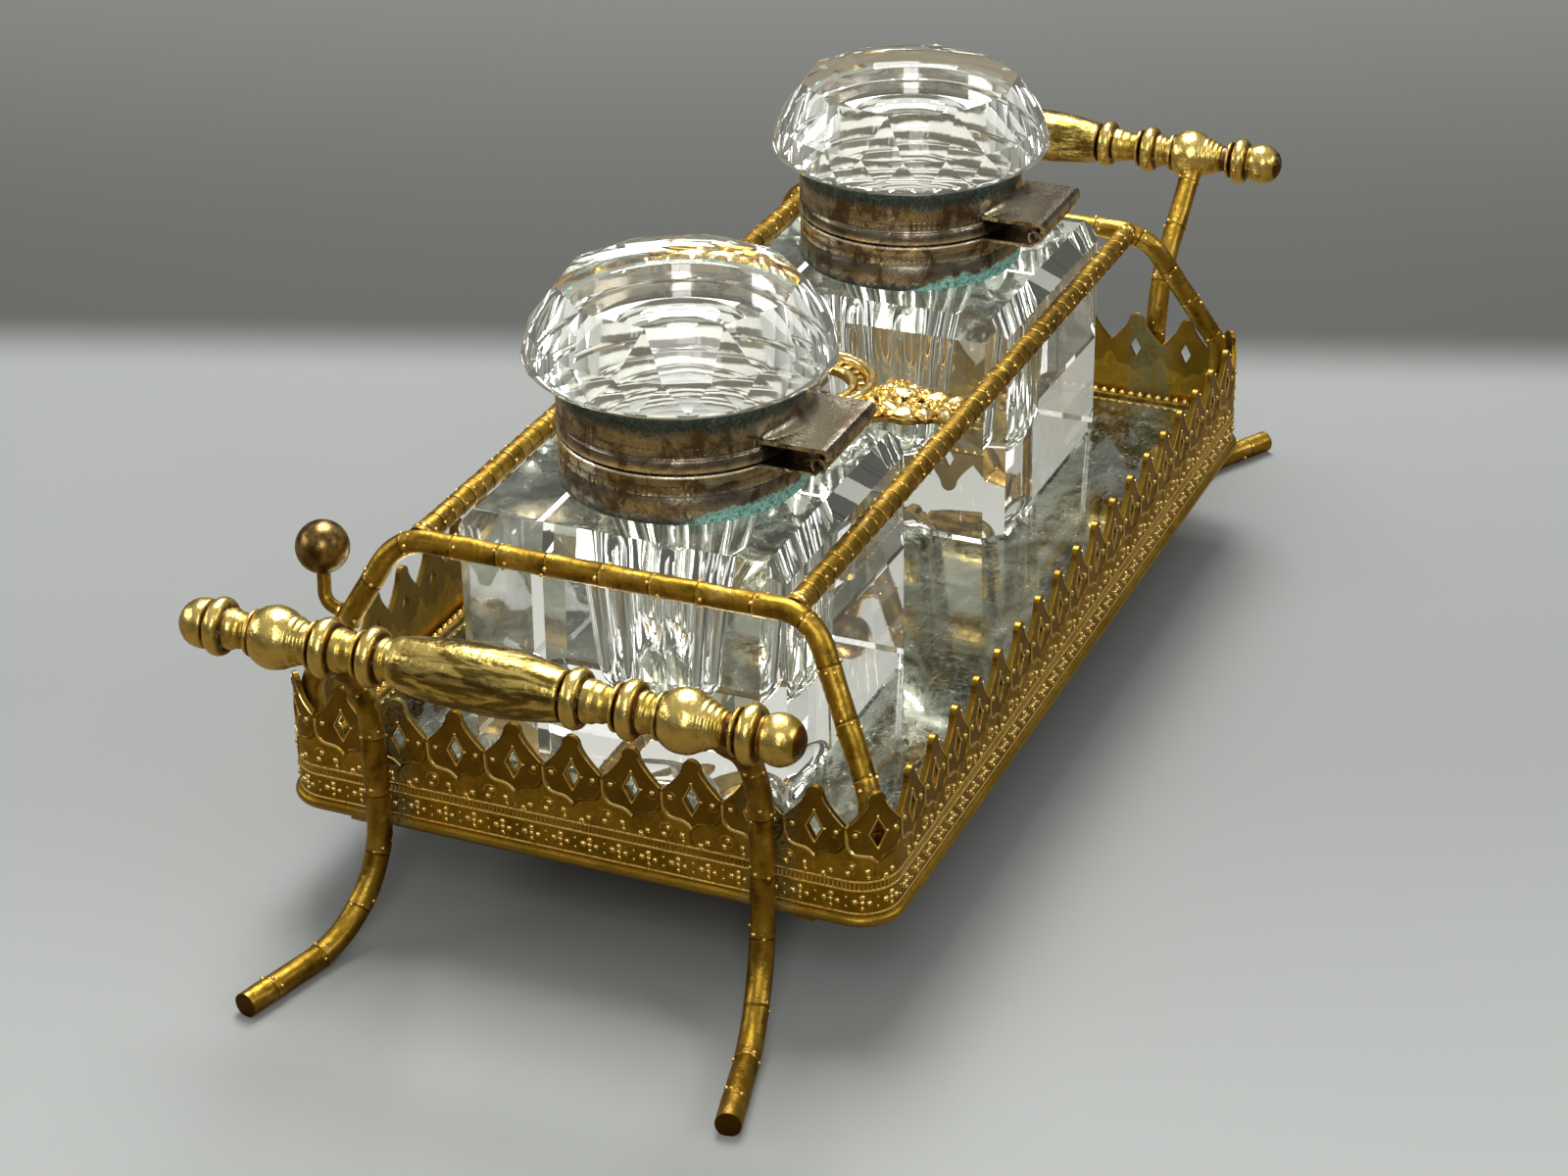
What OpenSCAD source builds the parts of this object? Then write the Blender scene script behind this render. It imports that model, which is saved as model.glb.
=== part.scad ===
// Desk inkstand: a gilt mirror tray on four bamboo legs, with two crystal
// inkwells held between bamboo rails, turned handles and a pen rest.
// Millimetres. X runs along the tray, -Y is the writer's side, Z is up, and
// the origin is on the table under the middle of the tray.

/* [Tray] */
// From each well's outer side to the end of the tray
end_space = 15.25; // [12.5:0.05:30]
// From each well's side to the side of the tray
side_space = 22.25; // [18:0.05:35]
// Height of the rolled rim's underside above the table
tray_z = 15.2; // [15:0.1:24]
// Outer corner radius of the pierced strip
corner_r = 5.7; // [4:0.1:8]
// How far the rolled rim stands out from the strip
rim_out = 0.85; // [0.4:0.05:1.5]
// Height of the rolled rim
rim_h = 1.7; // [1:0.1:2.5]
// Thickness of the brass bottom sheet
base_t = 1; // [0.6:0.1:2]
// Thickness of the packing board under the mirror
board_t = 2.4; // [1:0.1:4]
// Thickness of the mirror glass
mirror_t = 2.4; // [2:0.1:4]
// Gap between a loose plate and the strip round it
plate_gap = 0.25; // [0.1:0.05:0.5]
// Width of the polished bevel round the mirror
mirror_bevel_w = 4.5; // [2:0.5:8]
// Depth of the polished bevel at the mirror's edge
mirror_bevel_d = 0.8; // [0.3:0.1:1.5]

/* [Pierced strip] */
// Thickness of the stamped strip
strip_t = 0.8; // [0.5:0.1:1.5]
// Height of the strip to the valleys between its points
strip_h = 15.3; // [12:0.1:20]
// Height of each point above the valleys
point_h = 5.5; // [3:0.1:8]
// Radius of the rounded tip of each point
point_tip_r = 1.3; // [0.6:0.05:1.8]
// Width of the flat between two points
valley_w = 0.2; // [0.1:0.05:1]
// Number of points along a long side, between the corners
points_long = 18; // [10:1:24]
// Number of points along a short side, between the corners
points_short = 9; // [5:1:13]
// Height of the pierced diamond
diamond_h = 3.9; // [2:0.1:4.5]
// Width of the pierced diamond
diamond_w = 2; // [1:0.1:2.6]
// Depth of the pierced diamond's middle below the valleys
diamond_drop = 0.8; // [0:0.1:2]

/* [Bead strip] */
// Width of the beaded strip that holds the mirror down
bead_w = 1.6; // [1:0.1:3]
// Height of the beaded strip's flat foot
bead_foot = 0.5; // [0.3:0.1:1]

/* [Bamboo frame] */
// Radius of the hoop and rail rods
rod_r = 1.75; // [1.2:0.05:2.2]
// Height of the rails' axis above the mirror
rail_up = 34.4; // [30:0.1:37]
// Gap between a well and each rail
rail_gap = 1.75; // [1.2:0.05:4]
// Gap between a well and the bar of its hoop
hoop_gap = 1.25; // [0.8:0.05:4]
// From a rail's axis to where the line of a hoop leg meets the top bar
hoop_out = 3; // [2:0.1:5]
// Bend radius of the hoop's top corners
hoop_bend_r = 7.5; // [4:0.5:10]
// Height above the strip's valleys at which a hoop leg turns straight down
hoop_foot_up = 3.5; // [2.5:0.1:5]
// Length of the upright foot behind the corner point
hoop_foot_l = 7; // [4:0.5:10]
// How far a bamboo knot stands out from its rod
knot_out = 0.2; // [0.1:0.05:0.4]
// Width of a bamboo knot
knot_w = 1.3; // [0.8:0.1:2]

/* [Legs] */
// Radius of the leg rods
leg_r = 1.85; // [1.4:0.05:2.4]
// From the side of the tray to the leg's axis
leg_in = 17.65; // [12:0.05:22]
// Bend radius at the top of a leg
leg_top_bend = 20; // [14:0.5:26]
// Angle from upright at which a leg meets the handle
leg_top_angle = 50; // [40:1:60]
// Bend radius at the bottom of a leg
leg_foot_bend = 16; // [10:0.5:22]
// Length of the straight foot that lies on the table
leg_foot_l = 13; // [6:0.5:20]
// Angle by which each near foot turns out sideways
leg_splay = 13.8; // [0:0.2:25]
// Angle by which each far foot turns out sideways
far_leg_splay = 29; // [0:0.2:40]
// Length of the leg's straight top, up to the handle's axis
leg_top_l = 17.4; // [15:0.1:20]
// Depth of the flat worn under each foot
foot_flat = 0.1; // [0.05:0.05:0.3]

/* [Handles] */
// Height of the handle's axis above the rolled rim's underside
handle_up = 41.8; // [38:0.1:50]
// From a leg's axis to the centre of the end ball
handle_over = 12.3; // [11:0.1:16]
// Radius of the end balls
end_ball_r = 3.1; // [2:0.1:4]
// Radius of the large balls that the legs join
leg_ball_r = 4.1; // [3.2:0.1:5.5]
// Radius of the turned rings
ring_r = 3.9; // [2.8:0.1:5]
// Half the width of a turned ring
ring_hw = 1.1; // [0.6:0.1:1.6]
// Radius of the necks between the rings
neck_r = 2.3; // [1.6:0.1:2.8]
// Radius of the baluster at its middle
baluster_r = 4.35; // [3.2:0.05:6]
// Radius of the baluster at its ends
baluster_end_r = 2.9; // [2.4:0.1:4]
// Half the length of the baluster
baluster_hl = 13.4; // [8:0.2:14]
// From the baluster's end to the first turned ring
ring_1_at = 2.2; // [1.6:0.1:3]
// From the baluster's end to the second turned ring
ring_2_at = 8.6; // [7:0.1:9.2]
// From the baluster's end to the small third ring
ring_3_at = 10.8; // [10:0.1:12]
// From a large ball's side to the first ring beyond it
end_ring_1_at = 2.7; // [2:0.1:3.2]
// From a large ball's side to the second ring beyond it
end_ring_2_at = 4.6; // [4.2:0.1:5.4]
// How much smaller the third ring is than the first two
ring_3_less = 0.8; // [0.4:0.1:1]
// How much smaller the rings beyond a large ball are
end_ring_less = 0.4; // [0:0.1:0.8]

/* [Pen rest] */
// Radius of the pen rest's ball
pen_ball_r = 3.9; // [3:0.1:6]
// Radius of the pen rest's rod
pen_rod_r = 1; // [0.7:0.05:1.5]
// How far the ball's centre stands above the rod's foot
pen_up = 8.6; // [7:0.1:14]
// How far the ball's centre stands out in front of the rod's foot
pen_out = 5.5; // [5:0.1:5.5]
// How far the ball's centre stands in from the rod's foot
pen_in = 3; // [1:0.1:4]
// How far down the hoop's leg the rod is joined, as a share of the leg
pen_foot_share = 0.55; // [0.4:0.01:0.7]
// How far the rod reaches out from the hoop before it bends up
pen_reach = 4.6; // [3:0.1:6]

/* [Centre ornament] */
// Outer radius of the centre ring
ring_out_r = 11.3; // [9:0.1:14]
// Radius of the hole in the centre ring
ring_hole_r = 6.7; // [5:0.1:8]
// Height of the ring's underside above the rails' axis
ring_lift = -3.2; // [-5:0.1:0]
// Thickness of the ring and of the plates under the sprays
ring_t = 1.1; // [0.8:0.1:2]
// Half the width of a spray at the ring
spray_hw = 9; // [6:0.1:11]
// Half the width of a spray at the rail
spray_rail_hw = 4; // [2:0.1:6]
// Width of the ring's rounded outer rim
ring_rim_w = 1.9; // [1.2:0.1:2.4]
// Height of the ring's rounded outer rim
ring_rim_h = 2.7; // [2:0.1:4]
// Width of the ring's inner lip
ring_lip_w = 0.9; // [0.6:0.1:1.4]
// Height of the ring's inner lip
ring_lip_h = 1.7; // [1.2:0.1:3]

/* [Inkwells] */
// Space between the two wells
well_space = 39; // [36:0.5:60]
// Width of the square crystal body
well_w = 50; // [44:0.1:52]
// Height of the crystal body
well_h = 37.8; // [30:0.1:45]
// Width of the bevel round the top
well_bevel_w = 2.55; // [1:0.05:4]
// Height of the bevel round the top
well_bevel_h = 3.2; // [1:0.1:5]
// Cut taken along each side by an upright corner chamfer
well_chamfer = 2.8; // [1:0.1:5]
// Radius of the glass neck inside the collar
neck_glass_r = 16; // [15:0.1:17]
// Height of the glass neck
neck_glass_h = 6.6; // [5:0.1:9]
// Thickness of the neck's wall
neck_wall = 3.4; // [2.5:0.1:5]
// How much narrower the well is near its bottom than at its mouth
pit_taper = 2.8; // [0.5:0.1:4]
// Thickness of the glass under the well
well_floor = 6.5; // [4:0.1:12]
// Radius of the rounding at the well's bottom
pit_round = 5; // [2:0.5:7]

/* [Collars] */
// Thickness of the plaster between a collar and the glass
cement_t = 1.14; // [0.6:0.02:1.6]
// Wall of the collars
collar_t = 0.9; // [0.6:0.05:1.2]
// Thickness of the lip that covers the neck's rim
lip_t = 0.8; // [0.5:0.1:1.2]
// Height of the upper collar
upper_h = 8.7; // [7:0.1:12]
// Gap between the closed collars
collar_gap = 0.25; // [0.1:0.05:0.4]
// Clearance between a collar, its cement and the glass
fit_gap = 0.03; // [0.02:0.01:0.1]

/* [Hinges] */
// From the collars' side to the hinge pin
hinge_reach = 6.3; // [5:0.1:6.6]
// Height of the pin above the top of the lower collar
pin_lift = 1.25; // [1:0.05:1.6]
// Radius of the hinge pin
pin_r = 0.6; // [0.4:0.05:0.8]
// Radial clearance of the pin in the turning knuckle
pin_gap = 0.05; // [0.03:0.01:0.1]
// Outer radius of the knuckles
knuckle_r = 1.45; // [1.2:0.05:1.8]
// Width of the hinge leaves
leaf_w = 17.4; // [12:0.1:20]
// Length of the middle knuckle
mid_knuckle_l = 8.6; // [5:0.1:11]
// Side gap between neighbouring knuckles
knuckle_gap = 0.2; // [0.1:0.05:0.4]
// Thickness of the hinge leaves
leaf_t = 0.9; // [0.6:0.1:1.2]
// How far the upper leaf reaches past the pin
leaf_past = 1.6; // [0.8:0.1:1.8]

/* [Lids] */
// How far the lid stands out over the collars
lid_over = 4.8; // [3:0.1:5.4]
// How much smaller the lid's shoulder is than its widest edge
shoulder_in = 1.1; // [0.6:0.1:3]
// How much smaller the lid's flat table is, over its corners
table_in = 5.3; // [4:0.1:9]
// Height from the upper collar to the lid's widest edge
lid_rise = 2.5; // [1:0.1:4]
// Height of the lid's lower row of facets
lid_row_1 = 4.2; // [2:0.1:6]
// Height of the lid's upper row of facets
lid_row_2 = 6.2; // [3:0.1:9]
// Number of sides of the table
table_sides = 10; // [8:1:12]

/* [Hidden] */
$fn = 48;
GILT = "goldenrod";
BRASS = "darkgoldenrod";
NICKEL = "rosybrown";
CRYSTAL = "lightcyan";
CEMENT = "ivory";
eps = 0.01;

// Place of each well, and the tray round both
well_x = (well_space + well_w) / 2;
tray_l = 2 * (well_x + well_w / 2 + end_space);
tray_w = well_w + 2 * side_space;
// Outer faces of the strip, and the middle of its corner arcs
wall_x = tray_l / 2 - rim_out;
wall_y = tray_w / 2 - rim_out;
arc_x = wall_x - corner_r;
arc_y = wall_y - corner_r;
// Gap left between two pieces of bamboo inside the knot that joins them
knot_gap = 0.15;
// Levels in the tray
board_z = tray_z + base_t;
mirror_z = board_z + board_t;
floor_z = mirror_z + mirror_t;
valley_z = tray_z + strip_h;
diamond_z = valley_z - diamond_drop;
// How fast a point's flanks draw in towards its tip
ogee = 1.4;
flank_steps = 6;
tip_steps = 8;
// How far a corner's point reaches to each side of the corner's middle, in degrees round the corner
corner_turn = 42;
// How far a corner's point stands back from both faces of the wall below it
corner_inset = 0.05;
// Rails and hoops round the wells
rail_z = floor_z + rail_up;
rail_y = well_w / 2 + rail_gap + rod_r;
hoop_x = well_x + well_w / 2 + hoop_gap + rod_r;
hoop_y = rail_y + hoop_out;
hoop_foot_z = valley_z + hoop_foot_up;
// Hoop: how far it leans, and how far its legs spread
foot_in = corner_r - strip_t - rod_r - knot_out - fit_gap;
foot_x = arc_x + foot_in * cos(45);
foot_y = arc_y + foot_in * sin(45);
hoop_lean = atan2(foot_x - hoop_x, rail_z - hoop_foot_z);
hoop_slope_l = norm([foot_x - hoop_x, rail_z - hoop_foot_z]);
hoop_spread = atan2(foot_y - hoop_y, hoop_slope_l);
hoop_leg_l = norm([foot_y - hoop_y, hoop_slope_l]);
hoop_turn = 90 - hoop_spread;
hoop_tangent = hoop_bend_r * tan(hoop_turn / 2);
// Leg: it touches the rolled rim, and its top straight ends in the large ball
leg_x = tray_l / 2 + leg_r;
leg_y = tray_w / 2 - leg_in;
handle_z = tray_z + handle_up;
handle_half_l = leg_y + handle_over;
leg_arc_dx = leg_top_bend * (1 - cos(leg_top_angle));
leg_arc_dz = leg_top_bend * sin(leg_top_angle);
leg_bend_z = handle_z - leg_top_l * cos(leg_top_angle) - leg_arc_dz;
leg_low_z = leg_foot_bend + leg_r - foot_flat;
handle_x = leg_x + leg_arc_dx + leg_top_l * sin(leg_top_angle);
// Radii of the well's mouth and pit, and of both collars
mouth_r = neck_glass_r - neck_wall;
pit_r = mouth_r - pit_taper;
cement_in = neck_glass_r + fit_gap;
cement_out = cement_in + cement_t;
collar_r = cement_out + fit_gap + collar_t;
pin_y = collar_r + hinge_reach;
lid_r = collar_r + lid_over;
shoulder_r = lid_r - shoulder_in;
table_r = lid_r - table_in;
// Inkwell levels, with the well standing on the mirror
well_top = floor_z + well_h;
neck_top = well_top + neck_glass_h;
lower_top = neck_top + fit_gap + lip_t;
upper_z = lower_top + collar_gap;
upper_top = upper_z + upper_h;
lid_z = upper_top + lid_rise;
table_z = lid_z + lid_row_1 + lid_row_2;
pin_z = lower_top + pin_lift;
// The lid's spigot is as wide as the neck, so both cements are alike
spigot_z = upper_z + lip_t + fit_gap;

// ---- helpers ----

// Straight rod between two points
module rod(a, b, r) {
    d = b - a;
    translate(a)
        rotate([0, acos(d.z / norm(d)), atan2(d.y, d.x)])
            cylinder(h = norm(d), r = r);
}

// Straight piece of bamboo up Z, short of both ends by half the gap in a knot
module cane(l, r) {
    translate([0, 0, knot_gap])
        cylinder(h = l - 2 * knot_gap, r = r);
}

// Bent piece of bamboo: it starts at the origin up Z and turns towards +X
module bent_cane(bend_r, turn, r) {
    short = asin(knot_gap / bend_r);
    translate([bend_r, 0, 0])
        rotate([90, 0, 0])
            rotate([0, 0, 180 - turn + short])
                rotate_extrude(angle = turn - 2 * short)
                    translate([bend_r, 0])
                        circle(r);
}

// Knot that joins two pieces of bamboo at the origin, round Z
module knot(r) {
    translate([0, 0, -knot_w / 2])
        cylinder(h = knot_w, r = r + knot_out);
}

// Mirrored copy: at = -1 turns near into far, side = -1 back into front
module placed(at, side) {
    mirror([at < 0 ? 1 : 0, 0, 0])
        mirror([0, side < 0 ? 1 : 0, 0])
            children();
}

// Plate with rounded corners, standing on z = 0
module round_plate(l, w, h, r) {
    linear_extrude(h)
        round_rect(l, w, r);
}

module round_rect(l, w, r) {
    square([l - 2 * r, w], center = true);
    square([l, w - 2 * r], center = true);
    for (sx = [-1, 1], sy = [-1, 1])
        translate([sx * (l / 2 - r), sy * (w / 2 - r)])
            circle(r);
}

// One half or other of the object: at = 1 is the near end, -1 the far end
module at_end(at) {
    rotate([0, 0, at > 0 ? 0 : 180])
        children();
}

// ---- tray ----

module base_plate() {
    color(BRASS)
        translate([0, 0, tray_z])
            round_plate(2 * (wall_x - strip_t - plate_gap), 2 * (wall_y - strip_t - plate_gap),
                base_t, corner_r - strip_t - plate_gap);
}

// Small tabs turned under the bottom sheet
module base_tabs() {
    tab_w = 3;
    tab_l = 5;
    tab_t = 0.7;
    tab_inset = 9;
    color(BRASS)
        for (s = [-1, 1], t = [-1, 1]) {
            translate([s * (wall_x - tab_l / 2), t * (leg_y + leg_r + tab_w), tray_z - tab_t / 2])
                cube([tab_l, tab_w, tab_t], center = true);
            translate([s * (wall_x - corner_r - tab_inset), t * (wall_y - tab_l / 2), tray_z - tab_t / 2])
                cube([tab_w, tab_l, tab_t], center = true);
        }
}

module backing_board() {
    gap = strip_t + plate_gap * 2;
    color("peru")
        translate([0, 0, board_z])
            round_plate(2 * (wall_x - gap), 2 * (wall_y - gap), board_t, corner_r - gap);
}

// Mirror with a bevel that falls away towards its edge
module mirror_plate() {
    l = 2 * (wall_x - strip_t - plate_gap);
    w = 2 * (wall_y - strip_t - plate_gap);
    fall = atan2(mirror_bevel_d, mirror_bevel_w);
    color("lightsteelblue")
        difference() {
            translate([0, 0, mirror_z])
                round_plate(l, w, mirror_t, corner_r - strip_t - plate_gap);
            for (s = [0, 180]) rotate([0, 0, s]) {
                translate([l / 2 - mirror_bevel_w, 0, floor_z])
                    rotate([0, fall, 0])
                        translate([0, -w, 0])
                            cube([3 * mirror_bevel_w, 2 * w, mirror_t]);
                translate([0, w / 2 - mirror_bevel_w, floor_z])
                    rotate([-fall, 0, 0])
                        translate([-l, 0, 0])
                            cube([2 * l, 3 * mirror_bevel_w, mirror_t]);
            }
        }
}

// ---- pierced strip ----

// Height of the middle of a point's round tip
tip_h = point_h - point_tip_r;

// Half width of a point at height h above the valley, for half a pitch hp
function flank(h, hp) = point_tip_r + (hp - point_tip_r) * pow(1 - h / tip_h, ogee);

// Outline of one point, standing on y = 0
module point_2d(hp) {
    heights = [for (i = [0 : flank_steps]) tip_h * i / flank_steps];
    polygon(concat(
        [for (h = heights) [flank(h, hp), h]],
        [for (i = [flank_steps : -1 : 0]) [-flank(heights[i], hp), heights[i]]],
        [[-hp, -eps], [hp, -eps]]));
    translate([0, tip_h])
        circle(point_tip_r);
}

// Everything above a corner's point, whose tip is drawn in short straight steps
module above_point_2d(hp) {
    heights = [for (i = [0 : flank_steps]) tip_h * i / flank_steps];
    polygon(concat(
        [[-2 * hp, 2 * point_h], [-2 * hp, 0]],
        [for (h = heights) [-flank(h, hp), h]],
        [for (i = [1 : tip_steps - 1]) tip_point(180 - 180 * i / tip_steps)],
        [for (i = [flank_steps : -1 : 0]) [flank(heights[i], hp), heights[i]]],
        [[2 * hp, 0], [2 * hp, 2 * point_h]]));
}

// Point of a round tip at an angle from its right
function tip_point(angle) = [point_tip_r * cos(angle), tip_h + point_tip_r * sin(angle)];

module diamond_2d() {
    polygon([[0, -diamond_h / 2], [diamond_w / 2, 0], [0, diamond_h / 2], [-diamond_w / 2, 0]]);
}

// Flat stretch of strip with n points, centred on x = 0 and standing on y = 0
module strip_2d(l, n) {
    pitch = l / n;
    difference() {
        union() {
            translate([-l / 2, 0])
                square([l, strip_h]);
            for (i = [0 : n - 1])
                translate([(i + 0.5) * pitch - l / 2, strip_h])
                    point_2d((pitch - valley_w) / 2);
        }
        for (i = [0 : n - 1])
            translate([(i + 0.5) * pitch - l / 2, diamond_z - tray_z])
                diamond_2d();
    }
}

// Section of the rolled rim, with x = 0 on the strip's outer face
module rim_2d() {
    intersection() {
        translate([0, rim_h / 2])
            circle(r = rim_h / 2);
        square([rim_out, rim_h]);
    }
}

// Straight strip with its rim, lying along X with its outer face on y = 0
module straight_strip(l, n) {
    rotate([90, 0, 0])
        translate([0, 0, -strip_t])
            linear_extrude(strip_t)
                strip_2d(l, n);
    translate([l / 2, 0, 0])
        rotate([90, 0, -90])
            linear_extrude(l)
                rim_2d();
}

// Quarter turn of strip with one point, about the corner's centre
module corner_strip() {
    difference() {
        union() {
            rotate_extrude(angle = 90)
                translate([corner_r - strip_t, 0])
                    square([strip_t, strip_h]);
            rotate_extrude(angle = 90)
                translate([corner_r, 0])
                    rim_2d();
            difference() {
                rotate([0, 0, 45 - corner_turn])
                    rotate_extrude(angle = 2 * corner_turn)
                        translate([corner_r - strip_t + corner_inset, strip_h / 2])
                            square([strip_t - 2 * corner_inset, strip_h / 2 + 1.5 * point_h]);
                corner_prism()
                    translate([0, strip_h])
                        above_point_2d(corner_r * sin(corner_turn));
            }
        }
        corner_prism()
            translate([0, diamond_z - tray_z])
                diamond_2d();
    }
}

// Pushes an outline straight out through the corner
module corner_prism() {
    rotate([90, 0, 135])
        translate([0, 0, corner_r / 2])
            linear_extrude(corner_r)
                children();
}

module gallery_end(at) {
    color(GILT)
        at_end(at)
            translate([0, 0, tray_z]) {
                translate([wall_x, 0, 0])
                    rotate([0, 0, 90])
                        straight_strip(2 * arc_y, points_short);
                for (s = [0, 1])
                    mirror([0, s, 0])
                        translate([arc_x, arc_y, 0])
                            corner_strip();
            }
}

// side = -1 is the writer's side, 1 the hinge side
module gallery_side(side) {
    color(GILT)
        rotate([0, 0, side < 0 ? 0 : 180])
            translate([0, -wall_y, tray_z])
                straight_strip(2 * arc_x, points_long);
}

// ---- bead strips that hold the mirror's edge ----

module bead_bar(l) {
    translate([-l / 2, 0, 0])
        rotate([90, 0, 90])
            linear_extrude(l) {
                square([bead_w, bead_foot]);
                intersection() {
                    translate([bead_w / 2, bead_foot])
                        circle(bead_w / 2);
                    square([bead_w, bead_w + bead_foot]);
                }
            }
}

// The strip's inner edge rests on the mirror's bevel
bead_z = floor_z - mirror_bevel_d * (mirror_bevel_w - bead_w) / mirror_bevel_w + fit_gap;
bead_in = strip_t + plate_gap;

module bead_strip_end(at) {
    color(GILT)
        at_end(at)
            translate([wall_x - bead_in, 0, bead_z])
                rotate([0, 0, 90])
                    bead_bar(2 * (arc_y + plate_gap));
}

module bead_strip_side(side) {
    color(GILT)
        rotate([0, 0, side < 0 ? 0 : 180])
            translate([0, -(wall_y - bead_in), bead_z])
                bead_bar(2 * (arc_x + plate_gap));
}

// ---- bamboo frame ----

module hoop_solid(at) {
    at_end(at) {
        translate([hoop_x, 0, rail_z])
            rotate([0, -hoop_lean, 0]) {
                translate([0, -(hoop_y - hoop_tangent), 0])
                    rotate([-90, 0, 0])
                        cane(2 * (hoop_y - hoop_tangent), rod_r);
                for (side = [-1, 1])
                    placed(1, side)
                        hoop_shoulder();
            }
        for (side = [-1, 1])
            placed(1, side)
                translate([foot_x, foot_y, hoop_foot_z]) {
                    sphere(rod_r + knot_out);
                    translate([0, 0, -hoop_foot_l])
                        cylinder(h = hoop_foot_l, r = rod_r);
                }
    }
}

// Top corner and leaning leg of a hoop, in the hoop's own plane
module hoop_shoulder() {
    translate([0, hoop_y - hoop_tangent, 0])
        rotate([-90, 0, 0]) {
            knot(rod_r);
            rotate([0, 0, 90])
                bent_cane(hoop_bend_r, hoop_turn, rod_r);
        }
    translate([0, hoop_y, 0])
        rotate([180 + hoop_spread, 0, 0])
            translate([0, 0, hoop_tangent]) {
                knot(rod_r);
                cane(hoop_leg_l - hoop_tangent, rod_r);
            }
}

module hoop(at) {
    color(GILT)
        hoop_solid(at);
}

// The rail's ends are hollowed to sit against the hoops
module rail(side) {
    color(GILT)
        difference() {
            rod([-hoop_x, side * rail_y, rail_z], [hoop_x, side * rail_y, rail_z], rod_r);
            hoop_solid(1);
            hoop_solid(-1);
        }
}

// ---- handles and legs ----

// Ring of a turned bar, at y along it
module turned_ring(y, r, hw) {
    translate([0, y - hw])
        square([r - hw, 2 * hw]);
    translate([r - hw, y])
        circle(hw);
}

// Half outline of the turned bar: x is the radius, y runs along the bar
module handle_2d() {
    bulge = baluster_r - baluster_end_r;
    bulge_r = (pow(baluster_hl, 2) + pow(bulge, 2)) / (2 * bulge);
    intersection() {
        translate([0, -handle_half_l - end_ball_r])
            square([leg_ball_r + baluster_r, 2 * (handle_half_l + end_ball_r)]);
        union() {
            translate([0, -handle_half_l])
                square([neck_r, 2 * handle_half_l]);
            intersection() {
                translate([baluster_r - bulge_r, 0])
                    circle(bulge_r, $fn = 200);
                translate([0, -baluster_hl])
                    square([baluster_r, 2 * baluster_hl]);
            }
            for (s = [-1, 1]) {
                turned_ring(s * (baluster_hl + ring_1_at), ring_r, ring_hw);
                turned_ring(s * (baluster_hl + ring_2_at), ring_r, ring_hw);
                turned_ring(s * (baluster_hl + ring_3_at), ring_r - ring_3_less, ring_hw);
                translate([0, s * leg_y])
                    circle(leg_ball_r);
                turned_ring(s * (leg_y + leg_ball_r + end_ring_1_at), ring_r - end_ring_less, ring_hw);
                turned_ring(s * (leg_y + leg_ball_r + end_ring_2_at), ring_r - end_ring_less, ring_hw);
                translate([0, s * handle_half_l])
                    circle(end_ball_r);
            }
        }
    }
}

module handle(at) {
    color(GILT)
        at_end(at)
            translate([handle_x, 0, handle_z])
                rotate([-90, 0, 0])
                    rotate_extrude()
                        handle_2d();
}

// Leg: from the handle's ball in to the tray, down, and out to its foot
module leg(at, side) {
    color(GILT)
        placed(at, side)
            difference() {
                translate([leg_x, leg_y, 0]) {
                    translate([0, 0, leg_low_z])
                        cane(leg_bend_z - leg_low_z, leg_r);
                    translate([0, 0, leg_bend_z]) {
                        knot(leg_r);
                        bent_cane(leg_top_bend, leg_top_angle, leg_r);
                    }
                    translate([leg_arc_dx, 0, leg_bend_z + leg_arc_dz])
                        rotate([0, leg_top_angle, 0]) {
                            knot(leg_r);
                            cane(leg_top_l, leg_r);
                        }
                    translate([0, 0, leg_low_z])
                        rotate([180, 0, at > 0 ? leg_splay : far_leg_splay]) {
                            knot(leg_r);
                            bent_cane(leg_foot_bend, 90, leg_r);
                            translate([leg_foot_bend, 0, leg_foot_bend])
                                rotate([0, 90, 0])
                                    foot_cane();
                        }
                }
                translate([handle_x, leg_y, handle_z])
                    sphere(leg_ball_r);
                translate([wall_x, 0, -leg_r])
                    cube([tray_l, tray_w, leg_r]);
            }
}

// Foot that lies on the table, with the knot where it begins
module foot_cane() {
    knot(leg_r);
    cane(leg_foot_l, leg_r);
}

// ---- pen rest: a short bent rod on the hoop's front leg ----

// Place on the front leg of the near hoop, at a share of its length
function on_hoop_leg(share) = [
    hoop_x + (foot_x - hoop_x) * share,
    -(hoop_y + (foot_y - hoop_y) * share),
    rail_z - (rail_z - hoop_foot_z) * share];
pen_foot = on_hoop_leg(pen_foot_share);
pen_bend = pen_foot + [-1, -pen_reach, 1];
pen_ball = pen_foot + [-pen_in, -pen_out, pen_up];

module pen_rest_rod() {
    color(GILT)
        difference() {
            union() {
                rod(pen_foot, pen_bend, pen_rod_r);
                translate(pen_bend)
                    sphere(pen_rod_r + knot_out / 2);
                rod(pen_bend, pen_ball, pen_rod_r);
            }
            hoop_solid(1);
            translate(pen_ball)
                sphere(pen_ball_r);
        }
}

module pen_rest_ball() {
    color("saddlebrown")
        translate(pen_ball)
            sphere(pen_ball_r);
}

// ---- centre ornament between the rails ----

ring_z = rail_z + ring_lift;

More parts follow.
